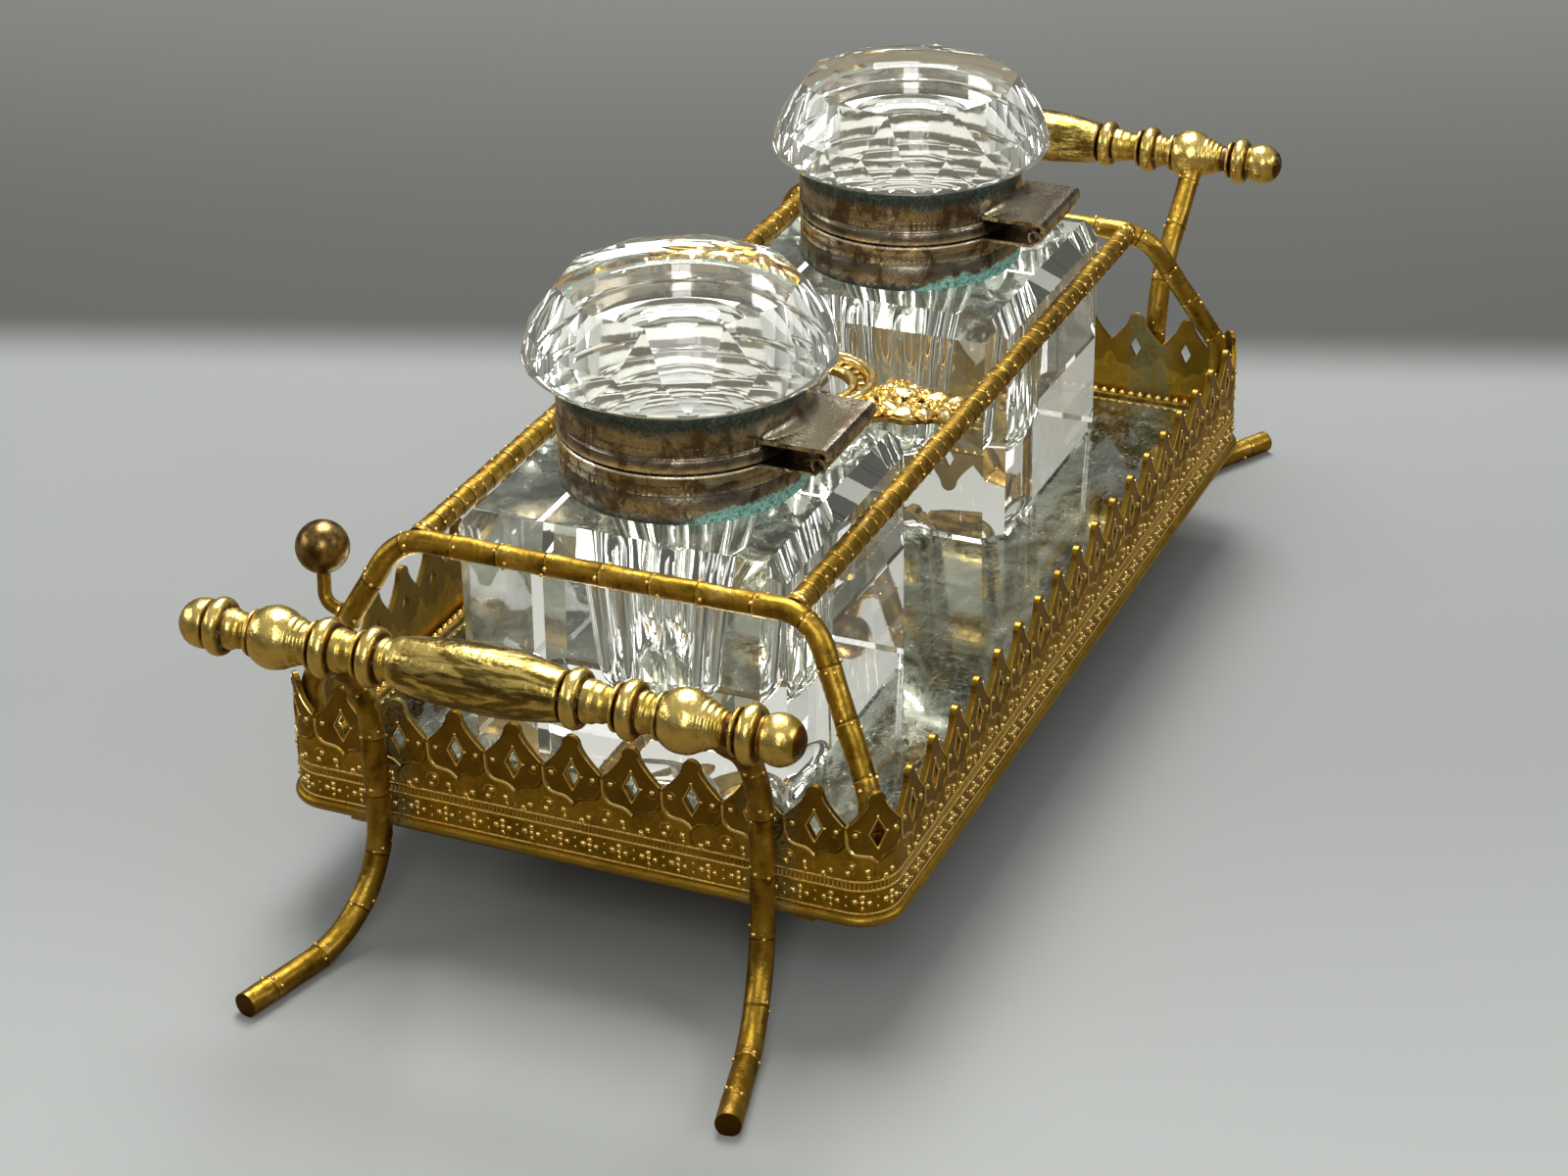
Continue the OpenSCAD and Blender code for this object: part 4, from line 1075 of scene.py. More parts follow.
def side_place(side):
    """Where a point (u, v, w) of a side strip lies."""
    def move(p):
        u, v, w = p[:, 0], p[:, 1], p[:, 2]
        return np.stack([-side * u, side * (WALL_Y + w), TRAY_Z + v], axis=1)
    return move, 2 * ARC_X


def shifted(shape, u):
    return shape.mapped(lambda p: p + np.array([u, 0.0, 0.0]))


class INKSTAND_OT_gallery(bpy.types.Operator):
    """Finishes the pierced gallery and raises its stamped ornament"""

    bl_idname = "inkstand.gallery"
    bl_label = "Gallery"

    def execute(self, context):
        chasing = context.scene.inkstand_chasing
        lift = chasing.relief
        corner_half = CORNER_R * math.pi / 4
        for end, at in ENDS.items():
            move, length = end_place(at)
            flat = Shape()
            half = ARC_Y / POINTS_SHORT
            tile = point_ornament(half, lift)
            for i in range(POINTS_SHORT):
                flat.join(shifted(tile, (2 * i + 1) * half - ARC_Y))
            for s in (-1, 1):
                flat.join(shifted(point_ornament(corner_half, lift, s < 0), s * (ARC_Y + corner_half)))
            flat.join(strip_lines(length, chasing.mill))
            self.raise_ornament(f"gallery_{end}_chasing", flat.mapped(move))
        for name, side in SIDES.items():
            move, length = side_place(side)
            flat = Shape()
            half = ARC_X / POINTS_LONG
            for i in range(POINTS_LONG):
                tile = point_ornament(half, lift, i < POINTS_LONG - 1)
                flat.join(shifted(tile, (2 * i + 1) * half - ARC_X))
            flat.join(strip_lines(length, chasing.mill))
            self.raise_ornament(f"gallery_{name}_chasing", flat.mapped(move))
        for node in ("gallery_near_end", "gallery_far_end", "gallery_front", "gallery_back"):
            dress(node, ground_material())
        return {"FINISHED"}

    def raise_ornament(self, name, shape):
        build(name, shape, relief_material(), "stand")


class INKSTAND_OT_beads(bpy.types.Operator):
    """Lays the beaded strips that hold the mirror down"""

    bl_idname = "inkstand.beads"
    bl_label = "Bead strips"

    def execute(self, context):
        for node in ("bead_strip_near", "bead_strip_far", "bead_strip_front", "bead_strip_back"):
            self.strip(node)
        return {"FINISHED"}

    def strip(self, node):
        low, high = node_box(node)
        size = high - low
        along = 0 if size[0] > size[1] else 1
        across = 1 - along
        middle = (low[across] + high[across]) / 2
        shape = Shape()
        # the flat foot, with its edges rounded off
        half = size[across] / 2
        edge = BEAD_FOOT * 0.7
        section = [(-half, 0), (half, 0), (half, edge), (half * 0.8, BEAD_FOOT), (-half * 0.8, BEAD_FOOT),
                   (-half, edge)]
        points = []
        for end in (low[along], high[along]):
            for a, h in section:
                spot = [0.0, 0.0, low[2] + h]
                spot[along] = end
                spot[across] = middle + a
                points.append(spot)
        shape.add(points, capped_faces(2, len(section)), 0.35)
        count = int(size[along] / BEAD_SPACING)
        for i in range(count):
            spot = [0.0, 0.0, low[2] + BEAD_FOOT * 0.9]
            spot[along] = low[along] + (i + 0.5) * size[along] / count
            spot[across] = middle
            shape.join(dome(spot, (0, 0, 1), BEAD_R, size[2] - BEAD_FOOT, 10, 4, 0.9))
        build(node + "_beads", shape, relief_material(), "stand", [node])


# ---- bamboo ----

BAMBOO_SIDES = 22
# where the mesh is cut beside each seam, along the bar
SEAM_CUTS = np.array([-0.6, -0.42, -0.28, -0.16, -0.06, 0.06, 0.16, 0.28, 0.42, 0.6])


def bamboo(path, radius, spacing, seed, buds=6, bud_r=0.34, mark=0.15, mark_out=0.03, taper=0.05,
           margin=2.0):
    """Chased bamboo: short segments that swell towards a faint broken seam, with small buds beside it."""
    rng = np.random.default_rng(seed)
    length = path_length(path)
    count = max(1, int(round((length - 2 * margin) / spacing)))
    marks = margin + (np.arange(count + 1)) * (length - 2 * margin) / count
    marks[1:-1] += rng.uniform(-0.12, 0.12, max(0, count - 1)) * spacing * 0.5
    places = np.concatenate([np.arange(0, length, 0.8), (marks[:, None] + SEAM_CUTS[None, :]).ravel()])
    places = np.unique(np.clip(np.append(places, length), 0, length).round(3))
    places = places[np.concatenate([[True], np.diff(places) > 0.03])]
    centre = resample(path, places)
    index = np.clip(np.searchsorted(marks, places) - 1, -1, len(marks) - 2)
    before = np.where(index >= 0, marks[index], marks[0] - spacing)
    after = marks[np.clip(index + 1, 0, len(marks) - 1)]
    share = np.clip((places - before) / np.maximum(after - before, 0.1), 0, 1)
    turn = np.linspace(0, 2 * math.pi, BAMBOO_SIDES, endpoint=False)
    start = rng.uniform(0, 2 * math.pi, len(marks))
    nearest = np.abs(places[:, None] - marks[None, :]).argmin(axis=1)
    # each seam lies a little aslant, and is cut deeper on one side than on the other
    slant = 0.14 * np.sin(turn[None, :] + start[nearest][:, None])
    gap = places[:, None] - marks[nearest][:, None] - slant
    depth = 0.55 + 0.45 * np.sin(2 * turn[None, :] + 2.3 * start[nearest][:, None])
    ridge = np.exp(-((gap + 0.14) / 0.13) ** 2) * depth
    groove = np.exp(-((gap - 0.16) / 0.14) ** 2) * (0.4 + 0.6 * depth)
    wave = rng.uniform(0, 2 * math.pi, 4)
    lumps = (np.sin(turn[None, :] * 3 + wave[0] + places[:, None] * 0.9)
             + np.sin(turn[None, :] * 2 + wave[1] - places[:, None] * 0.55)
             + np.sin(turn[None, :] * 5 + wave[2] + places[:, None] * 0.31)) * 0.017
    swell = (radius - 0.05 + taper * (share ** 2 - 0.4))[:, None]
    breadth = swell + mark_out * ridge - 0.045 * groove + lumps
    wear_and_highlight = 0.5 + mark * ridge - 0.35 * groove + 0.1 * (share - 0.5)[:, None] + lumps * 3.0
    wear_and_highlight[0] = wear_and_highlight[-1] = 0.05
    shape = tube(centre, breadth, BAMBOO_SIDES, wear_and_highlight)
    across, over, _ = frames_along(centre)
    for mark, turn0 in zip(marks, start):
        for k in range(buds):
            i = int(np.abs(places - mark + 0.35 * (k - 1) + rng.uniform(-0.12, 0.12)).argmin())
            size = bud_r * rng.uniform(0.75, 1.1)
            angle = turn0 + k * (0.42 + rng.uniform(-0.06, 0.06)) + math.pi * (k % 2) * (buds > 3)
            out = math.cos(angle) * across[i] + math.sin(angle) * over[i]
            shape.join(dome(centre[i] + out * (radius - 0.1), out, size, size * 1.05, 8, 3, 1.0))
    return shape


def mirrored(shape, at, side):
    """The shape of the near back quarter, turned over to another quarter."""
    flipped = shape.mapped(lambda p: p * np.array([at, side, 1.0]))
    if at * side < 0:
        flipped.faces = [face[::-1] for face in flipped.faces]
    return flipped


class INKSTAND_OT_frame(bpy.types.Operator):
    """Builds the hoops and rails of chased bamboo"""

    bl_idname = "inkstand.frame"
    bl_label = "Hoops and rails"

    def execute(self, context):
        chasing = context.scene.inkstand_chasing
        for number, (end, at) in enumerate(ENDS.items()):
            self.hoop(end, at, chasing.hoop_mark, SEEDS["hoop"] + number)
        for number, (name, side) in enumerate(SIDES.items()):
            self.rail(name, side, chasing.rail_mark, SEEDS["rail"] + number)
        return {"FINISHED"}

    def hoop(self, end, at, spacing, seed):
        half = [(FOOT_X, FOOT_Y, FOOT_Z - HOOP_FOOT_L), (FOOT_X, FOOT_Y, FOOT_Z), (HOOP_X, HOOP_Y, RAIL_Z)]
        corners = half + [(x, -y, z) for x, y, z in reversed(half)]
        path = rounded_path(corners, [HOOP_FOOT_BEND_R, HOOP_BEND_R, HOOP_BEND_R, HOOP_FOOT_BEND_R])
        shape = bamboo(path, ROD_R, spacing, seed)
        build(f"hoop_{end}_bamboo", mirrored(shape, at, 1), bamboo_material(), "stand",
              [f"hoop_{end}"])

    def rail(self, name, side, spacing, seed):
        reach = HOOP_X - 0.4
        path = np.array([(x, side * RAIL_Y, RAIL_Z) for x in np.linspace(-reach, reach, 160)])
        shape = bamboo(path, ROD_R, spacing, seed, buds=4, bud_r=0.25, mark=0.25, mark_out=0.035, taper=0.08)
        # solder where the rail meets each hoop
        for at in (-1, 1):
            for k in range(7):
                turn = 0.9 * k
                c, s = math.cos(turn), math.sin(turn)
                spot = (at * (HOOP_X - 1.5 - 0.25 * (k % 3)), side * (RAIL_Y + 0.8 * c), RAIL_Z + 0.8 * s)
                shape.join(dome(spot, (at * 0.6, side * c, s), 1.0, 1.15, 10, 4, 0.8))
        build(f"rail_{name}_bamboo", shape, bamboo_material(), "stand", [f"rail_{name}"])


# ---- legs and handles ----


class INKSTAND_OT_legs(bpy.types.Operator):
    """Builds the four bamboo legs"""

    bl_idname = "inkstand.legs"
    bl_label = "Legs"

    def execute(self, context):
        spacing = context.scene.inkstand_chasing.leg_mark
        seed = SEEDS["leg"]
        for end, at in ENDS.items():
            for name, side in SIDES.items():
                self.leg(f"leg_{end}_{name}", at, side, LEG_SPLAY[end], spacing, seed)
                seed += 1
        return {"FINISHED"}

    def leg(self, node, at, side, splay, spacing, seed):
        foot_z = LEG_R - FOOT_FLAT
        reach = LEG_FOOT_BEND + LEG_FOOT_L - 0.15
        toe = (LEG_X + reach * math.cos(splay), LEG_Y + reach * math.sin(splay), foot_z)
        # the two straight stretches meet above the bend at the top of the upright
        slope = (HANDLE_X - LEG_X) / math.tan(LEG_TOP_ANGLE)
        corner_z = HANDLE_Z - slope
        path = rounded_path([(HANDLE_X - 0.4, LEG_Y, HANDLE_Z - 0.4), (LEG_X, LEG_Y, corner_z),
                             (LEG_X, LEG_Y, foot_z), toe], [LEG_TOP_BEND, LEG_FOOT_BEND])
        shape = bamboo(path, LEG_R, spacing, seed, margin=5.0)
        shape = shape.mapped(lambda p: np.column_stack([p[:, :2], np.maximum(p[:, 2], 0.0)]))
        build(node + "_bamboo", mirrored(shape, at, side), bamboo_material(), "stand", [node])


BALUSTER_FROM, BALUSTER_TO = -12.7, 12.1
BALUSTER_R, BALUSTER_END_R = 4.6, 3.35
NECK_R = 2.15
END_BALL_R = 3.45
# along the handle, every ring and ball starts with a flange and a dark groove and ends in a stepped cone
HANDLE_RINGS = ((-39.0, 4.0, 1.1, 3.1), (-22.9, 4.15, 1.2, 4.0), (-16.0, 4.1, 1.1, 2.9),
                (13.5, 4.1, 1.15, 4.2), (21.3, 4.05, 1.15, 2.6), (37.8, 4.0, 1.15, 1.9))
HANDLE_BALLS = (-30.6, 28.7)
HANDLE_BALL_R = 4.35
HANDLE_END_FROM = 30


def ball(y, centre, radius):
    """Radius of a ball at y along the handle."""
    return np.sqrt(np.clip(radius ** 2 - (y - centre) ** 2, 0, None))


def crown(y, centre, radius, half):
    """A turned ring: flat sided, with a rounded crown."""
    inside = np.abs(y - centre) <= half
    return np.where(inside, radius - 0.7 * half + 0.7 * ball(y, centre, half), 0)


def stepped_cone(y, start, length, r0, r1, steps=3):
    """A cone turned in steps, each with a softened shoulder."""
    share = (y - start) / length
    place = np.clip(share, 0, 1) * steps
    stair = (np.floor(place) + np.clip((place % 1) / 0.35, 0, 1) * 0.75 + 0.25 * (place % 1)) / steps
    return np.where((share >= 0) & (share <= 1), r0 + (r1 - r0) * np.clip(stair, 0, 1), 0)


def handle_profile():
    """Radius and wear along the handle."""
    y = np.arange(-HANDLE_HALF, HANDLE_HALF, 0.14)
    close = np.geomspace(0.01, 0.6, 7)
    y = np.unique(np.concatenate([y, HANDLE_HALF - close, -HANDLE_HALF + close, [HANDLE_HALF]]))
    along = (y - BALUSTER_FROM) / (BALUSTER_TO - BALUSTER_FROM)
    bulge = BALUSTER_END_R + (BALUSTER_R - BALUSTER_END_R) * np.clip(4 * along * (1 - along), 0, 1) ** 0.9
    r = np.where((along >= 0) & (along <= 1), bulge, NECK_R)
    grooves = []
    for centre, radius, half, cone_l in HANDLE_RINGS:
        r = np.maximum(r, crown(y, centre, radius, half))
        r = np.maximum(r, crown(y, centre - half - 0.75, radius - 0.75, 0.32))
        r = np.maximum(r, stepped_cone(y, centre + half, cone_l, radius - 0.95, NECK_R + 0.15))
        grooves += [(centre - half - 0.2, 0.3, 0.35), (centre + half + 0.1, 0.18, 0.22)]
    for centre in HANDLE_BALLS:
        r = np.maximum(r, ball(y, centre, HANDLE_BALL_R))
        r = np.maximum(r, crown(y, centre - 3.3, 3.25, 0.4))
        r = np.maximum(r, stepped_cone(y, centre + 2.4, 3.4, 3.7, NECK_R + 0.15, 4))
        grooves += [(centre - 2.85, 0.22, 0.2)]
    last = HANDLE_HALF - END_BALL_R
    end_ball = ball(y, np.sign(y) * last, END_BALL_R)
    r = np.maximum(r, np.where(np.abs(y) > HANDLE_END_FROM, end_ball, 0))
    r = np.where(np.abs(y) > last, end_ball, r)
    wear_and_highlight = 0.55 + 0.4 * np.clip((r - NECK_R) / 2.0, 0, 1)
    for place, breadth, depth in grooves:
        cut = np.exp(-((y - place) / breadth) ** 2)
        r = r - depth * cut
        wear_and_highlight = wear_and_highlight - 1.1 * cut
    necks = np.clip(1 - (r - NECK_R) / 0.25, 0, 1)
    wear_and_highlight = wear_and_highlight - 0.42 * necks
    r = np.clip(r, AXIS_R, None)
    r[0] = r[-1] = AXIS_R
    return y, r, np.clip(wear_and_highlight, 0, 1)


class INKSTAND_OT_handles(bpy.types.Operator):
    """Turns the two handles"""

    bl_idname = "inkstand.handles"
    bl_label = "Handles"

    def execute(self, context):
        y, r, wear_and_highlight = handle_profile()
        for number, (end, at) in enumerate(ENDS.items()):
            shape = lathe(np.column_stack([r, y]), 48, wear_and_highlight, axis="Y")
            shape = self.chased(shape, SEEDS["handle"] + number)
            shape = shape.mapped(lambda p: p + np.array([at * HANDLE_X, 0, HANDLE_Z]))
            node = f"handle_{end}"
            build(f"{node}_turned", shape, turned_material(), "stand", [node], angle=55)
        return {"FINISHED"}

    def chased(self, shape, seed):
        """Shallow lengthwise flutes worn into the baluster and dents on the balls."""
        rng = np.random.default_rng(seed)
        points = np.array(shape.points)
        y = points[:, 1]
        turn = np.arctan2(points[:, 2], points[:, 0])
        phases = rng.uniform(0, 2 * math.pi, 6)
        baluster = np.clip((12.0 - np.abs(y)) / 2.0, 0, 1)
        flutes = np.sin(turn * 9 + 0.5 * np.sin(y * 0.25 + phases[0]))
        flutes *= np.sin(y * 0.55 + turn * 2 + phases[1])
        dents = np.sin(turn * 4 + phases[2] + y) * np.sin(y * 2.1 + phases[3])
        swell = 0.05 * baluster * flutes + 0.035 * (1 - baluster) * dents
        radius = np.hypot(points[:, 0], points[:, 2])
        scale = np.where(radius > 1.0, (radius + swell) / np.maximum(radius, 0.1), 1.0)
        points[:, 0] *= scale
        points[:, 2] *= scale
        shape.points = list(map(tuple, points))
        marks = np.array(shape.wear_and_highlight) - 0.28 * baluster * np.clip(flutes, 0, 1) + 0.1 * dents * (1 - baluster)
        shape.wear_and_highlight = list(np.clip(marks, 0, 1))
        return shape


# ---- pen rest ----

PEN_BALL_R = 3.9
PEN_ROD_R = 1.0
PEN_FOOT_SHARE = 0.55
PEN_BEND_R = 2.2


class INKSTAND_OT_pen_rest(bpy.types.Operator):
    """Builds the ball of the pen rest and its bent rod"""

    bl_idname = "inkstand.pen_rest"
    bl_label = "Pen rest"

    def execute(self, context):
        low, high = node_box("pen_rest_ball")
        centre = (low + high) / 2
        turn = np.linspace(-math.pi / 2, math.pi / 2, 41)
        profile = np.column_stack([PEN_BALL_R * np.cos(turn), PEN_BALL_R * np.sin(turn)])
        profile[0, 0] = profile[-1, 0] = AXIS_R
        shape = lathe(profile, 56, 0.5, centre)
        build("pen_rest_ball_bronze", shape, bronze_material(), "stand", ["pen_rest_ball"])
        top = np.array([HOOP_X, -HOOP_Y, RAIL_Z])
        bottom = np.array([FOOT_X, -FOOT_Y, FOOT_Z])
        foot = top + (bottom - top) * PEN_FOOT_SHARE
        bend = foot + np.array([-1.0, -4.6, 1.0])
        path = rounded_path([foot, bend, centre], [PEN_BEND_R], 0.4)
        rod = tube(path, PEN_ROD_R, 16, 0.45)
        rod.join(dome(foot + np.array([-0.2, -1.2, 0.3]), (-0.2, -1, 0.2), 1.5, 1.1, 12, 4, 0.7))
        build("pen_rest_rod_bent", rod, bamboo_material(), "stand", ["pen_rest_rod"])
        return {"FINISHED"}


# ---- centre ornament ----

RING_HOLE_R = 6.7
STUD_AT_R = 8.62
STUD_HALF, STUD_H = 0.46, 0.62
SPRAY_FROM = 11.0
SPRAY_ROOT_W, SPRAY_END_W = 8.2, 3.4
# pairs of leaves: place along the spray, length and swing from its middle line
LEAVES = ((0.08, 6.0, 0.5), (0.3, 6.2, 0.75), (0.52, 5.0, 0.9), (0.74, 4.0, 0.8))
# roses: place across, place along and size
ROSES = ((0.0, 0.14, 2.9), (-4.6, 0.2, 2.0), (4.6, 0.2, 2.0), (-2.2, 0.42, 2.0),
         (2.4, 0.46, 2.1), (0.2, 0.66, 1.9), (-1.4, 0.86, 1.4), (1.6, 0.84, 1.4))


class INKSTAND_OT_ornament(bpy.types.Operator):
    """Builds the centre ring with its studs, and the cast sprays beside it"""

    bl_idname = "inkstand.ornament"
    bl_label = "Centre ornament"

    def execute(self, context):
        self.ring(context.scene.inkstand_chasing.studs)
        for name, side in SIDES.items():
            self.spray(name, side)
        return {"FINISHED"}

    def ring(self, studs):
        low, high = node_box("centre_ring")
        outer, base, top = high[0], low[2], high[2]
        hole, crest = RING_HOLE_R, 0.95
        profile = [(hole, base + 0.15), (hole + 0.15, base), (outer - 1.2, base),
                   (outer - 0.35, base + 0.35), (outer, base + 1.2)]
        profile += [(outer - crest + crest * math.cos(a), top - crest + crest * math.sin(a))
                    for a in np.linspace(0, math.pi * 0.95, 9)]
        profile += [(9.3, base + 1.15), (9.2, base + 1.0), (8.0, base + 1.0), (7.9, base + 1.2),
                    (7.75, base + 1.62), (7.3, base + 1.7), (6.95, base + 1.62), (hole, base + 1.3),
                    (hole, base + 0.15)]
        wear_and_highlight = [0.3, 0.4, 0.4, 0.5, 0.7] + [0.9] * 9 + [0.1, 0.1, 0.1, 0.1, 0.7, 0.95, 0.7, 0.4, 0.3]
        shape = lathe(profile, 72, wear_and_highlight)
        for i in range(studs):
            turn = 2 * math.pi * i / studs
            spot = (STUD_AT_R * math.cos(turn), STUD_AT_R * math.sin(turn), base + 1.0)
            shape.join(self.stud(spot, turn))
        build("centre_ring_studded", shape, cast_material(), "stand", ["centre_ring"])

    def stud(self, spot, turn):
        """A small square block with a softened top."""
        c, s = math.cos(turn), math.sin(turn)
        x, y, z = spot
        points = []
        for up, size in ((0, STUD_HALF), (STUD_H * 0.7, STUD_HALF), (STUD_H, STUD_HALF * 0.7)):
            for a, b in ((-1, -1), (1, -1), (1, 1), (-1, 1)):
                points.append((x + size * (a * c - b * s), y + size * (a * s + b * c), z + up))
        shape = Shape()
        shape.add(points, grid_faces(3, 4) + [(8, 9, 10, 11), (3, 2, 1, 0)], 0.9)
        return shape

    def spray(self, name, side):
        node = f"centre_spray_{name}"
        base = node_box(node)[0][2]
        inner = SPRAY_FROM
        span = RAIL_Y - ROD_R + 0.2 - inner
        shape = Shape()
        # thin plate with a scalloped edge under the leaves
        rows = 15
        edge = []
        for i in range(rows):
            share = i / (rows - 1)
            width = SPRAY_ROOT_W + (SPRAY_END_W - SPRAY_ROOT_W) * share + 0.5 * math.sin(share * math.pi * 5)
            edge.append((width, inner + span * share))
        loop = edge + [(-w, y) for w, y in reversed(edge)]
        points = [(x, y, base + 0.05) for x, y in loop] + [(x * 0.97, y, base + 0.8) for x, y in loop]
        shape.add(points, capped_faces(2, len(loop)), 0.3)
        rng = np.random.default_rng(SEEDS["spray"])
        for sx in (-1, 1):
            for share, reach, swing in LEAVES:
                start = (sx * 1.0, inner + span * share, base + 0.9)
                heading = (sx * math.sin(swing), math.cos(swing) * 0.8, 0.0)
                self.leaf(shape, start, heading, reach, reach * 0.34)
        for x, share, size in ROSES:
            self.rose(shape, (x, inner + span * share, base + 0.9), size, rng)
        flipped = mirrored(shape, 1, side)
        build(f"{node}_cast", flipped, cast_material(), "stand", [node], angle=60)

    def leaf(self, shape, start, heading, length, width):
        """A pointed leaf with a midrib and a lobed edge, arched over its plate."""
        start = np.array(start, float)
        heading = np.array(heading, float) / np.linalg.norm(heading)
        across = np.cross((0, 0, 1), heading)
        rows, columns = 11, 9
        points, wear_and_highlight = [], []
        for i in range(rows):
            t = i / (rows - 1)
            lobed = 1 + 0.16 * math.sin(t * 22)
            wide = width * math.sin(math.pi * min(1.0, t * 0.96 + 0.04)) ** 0.7 * lobed
            for j in range(columns):
                u = -1 + 2 * j / (columns - 1)
                vein = abs(math.sin(u * 5 + t * 9))
                rise = 0.75 * math.sin(math.pi * t) + 0.35 * (1 - abs(u)) ** 2 + 0.22 * vein - 0.35 * u * u
                spot = start + heading * length * t + across * wide * u
                points.append(spot + np.array((0, 0, rise * 0.8)))
                wear_and_highlight.append(0.35 + 0.6 * (1 - abs(u)) ** 1.5 + 0.2 * vein)
        under = [p - np.array((0, 0, 0.6)) for p in points]
        n = len(points)
        rim = rim_of(rows, columns)
        faces = sheet_faces(rows, columns)
        faces += [(a, b, b + n, a + n)[::-1] for a, b in zip(rim, rim[1:] + rim[:1])]
        shape.add(points + under, faces, wear_and_highlight + [0.2] * n)

    def rose(self, shape, centre, size, rng):
        """An open rose: cupped petals in two rows round a knobbed heart."""
        centre = np.array(centre, float)
        for row, (count, reach, lift, tilt) in enumerate(((5, 0.62, 0.30, 0.5), (4, 0.36, 0.62, 0.9))):
            start = rng.uniform(0, 2 * math.pi)
            for k in range(count):
                turn = start + 2 * math.pi * k / count
                out = np.array((math.cos(turn), math.sin(turn), 0.0))
                spot = centre + out * size * reach + np.array((0, 0, size * lift * 0.45))
                face = out * tilt + np.array((0, 0, 1.0))
                shape.join(self.petal(spot, face, size * (0.52 - 0.1 * row)))
        heart = centre + np.array((0, 0, size * 0.3))
        shape.join(dome(heart, (0, 0, 1), size * 0.26, size * 0.36, 10, 4, 0.95))

    def petal(self, spot, face, size):
        """A cupped round petal, thicker in its middle."""
        face = np.array(face) / np.linalg.norm(face)
        across = np.cross(face, (0.0, 0.0, 1.0))
        across = across / np.linalg.norm(across) if np.linalg.norm(across) > 1e-6 else np.array((1.0, 0, 0))
        over = np.cross(face, across)
        rings, sides = 4, 12
        turn = np.linspace(0, 2 * math.pi, sides, endpoint=False)
        points, wear_and_highlight = [], []
        for i in range(rings):
            r = size * (1 - i / rings)
            cup = 0.35 * size * (r / size) ** 2
            for a in turn:
                points.append(spot + across * r * math.cos(a) + over * r * math.sin(a) + face * cup)
                wear_and_highlight.append(0.25 + 0.75 * (r / size) ** 2)
        points.append(spot.copy())
        wear_and_highlight.append(0.2)
        top = rings * sides
        faces = grid_faces(rings, sides)
        faces += [(top - sides + c, top - sides + (c + 1) % sides, top) for c in range(sides)]
        base = top + 1
        for a in turn:
            edge = spot + across * size * 0.8 * math.cos(a) + over * size * 0.8 * math.sin(a)
            points.append(edge - face * size * 0.35)
        wear_and_highlight += [0.2] * sides
        faces += [(c, (c + 1) % sides, base + (c + 1) % sides, base + c)[::-1] for c in range(sides)]
        faces.append(tuple(base + c for c in range(sides)))
        out = Shape()
        out.add(points, faces, wear_and_highlight)
        return out


# ---- inkwells ----

WELL_H = 37.8
WELL_BEVEL_W, WELL_BEVEL_H = 2.55, 3.2
WELL_CHAMFER = 2.8
NECK_R_GLASS = 16.0
MOUTH_R, PIT_R = 12.6, 9.8
WELL_FLOOR, PIT_ROUND = 6.5, 5.0
FLUTES = 8
FLUTE_DEPTH = 0.11
COLUMNS = 25
LID_SIDES, LID_SPLIT = 20, 5
LID_RISE, LID_UNDER = 10.4, 2.5
SHOULDER_IN, SHOULDER_UP = 1.1, 4.2
TABLE_IN = 5.3
SPIGOT_R = 16.0
HOLLOW_R, HOLLOW_H = 9.5, 3.4
CRYSTAL_WELD = 0.01


def square_ring(half, cut, z):
    """Points round a square with its corners cut off, the same number on each side."""
    points = []
    for k in range(4):
        turn = k * math.pi / 2
        c, s = math.cos(turn), math.sin(turn)
        for share in np.linspace(-1, 1, COLUMNS):
            x, y = half, share * (half - cut)
            points.append((x * c - y * s, x * s + y * c, z))
    return points


def round_ring(radius, z, fluted=0.0):
    """Points round a circle that match those of square_ring, with full flutes where fluted is 1."""
    points = []
    for k in range(4):
        for share in np.linspace(-1, 1, COLUMNS):
            turn = k * math.pi / 2 + share * math.pi / 4
            off = (turn * FLUTES / (2 * math.pi) + 0.5) % 1 - 0.5
            r = radius * (1 - fluted * FLUTE_DEPTH * (2 * off) ** 2)
            points.append((r * math.cos(turn), r * math.sin(turn), z))
    return points


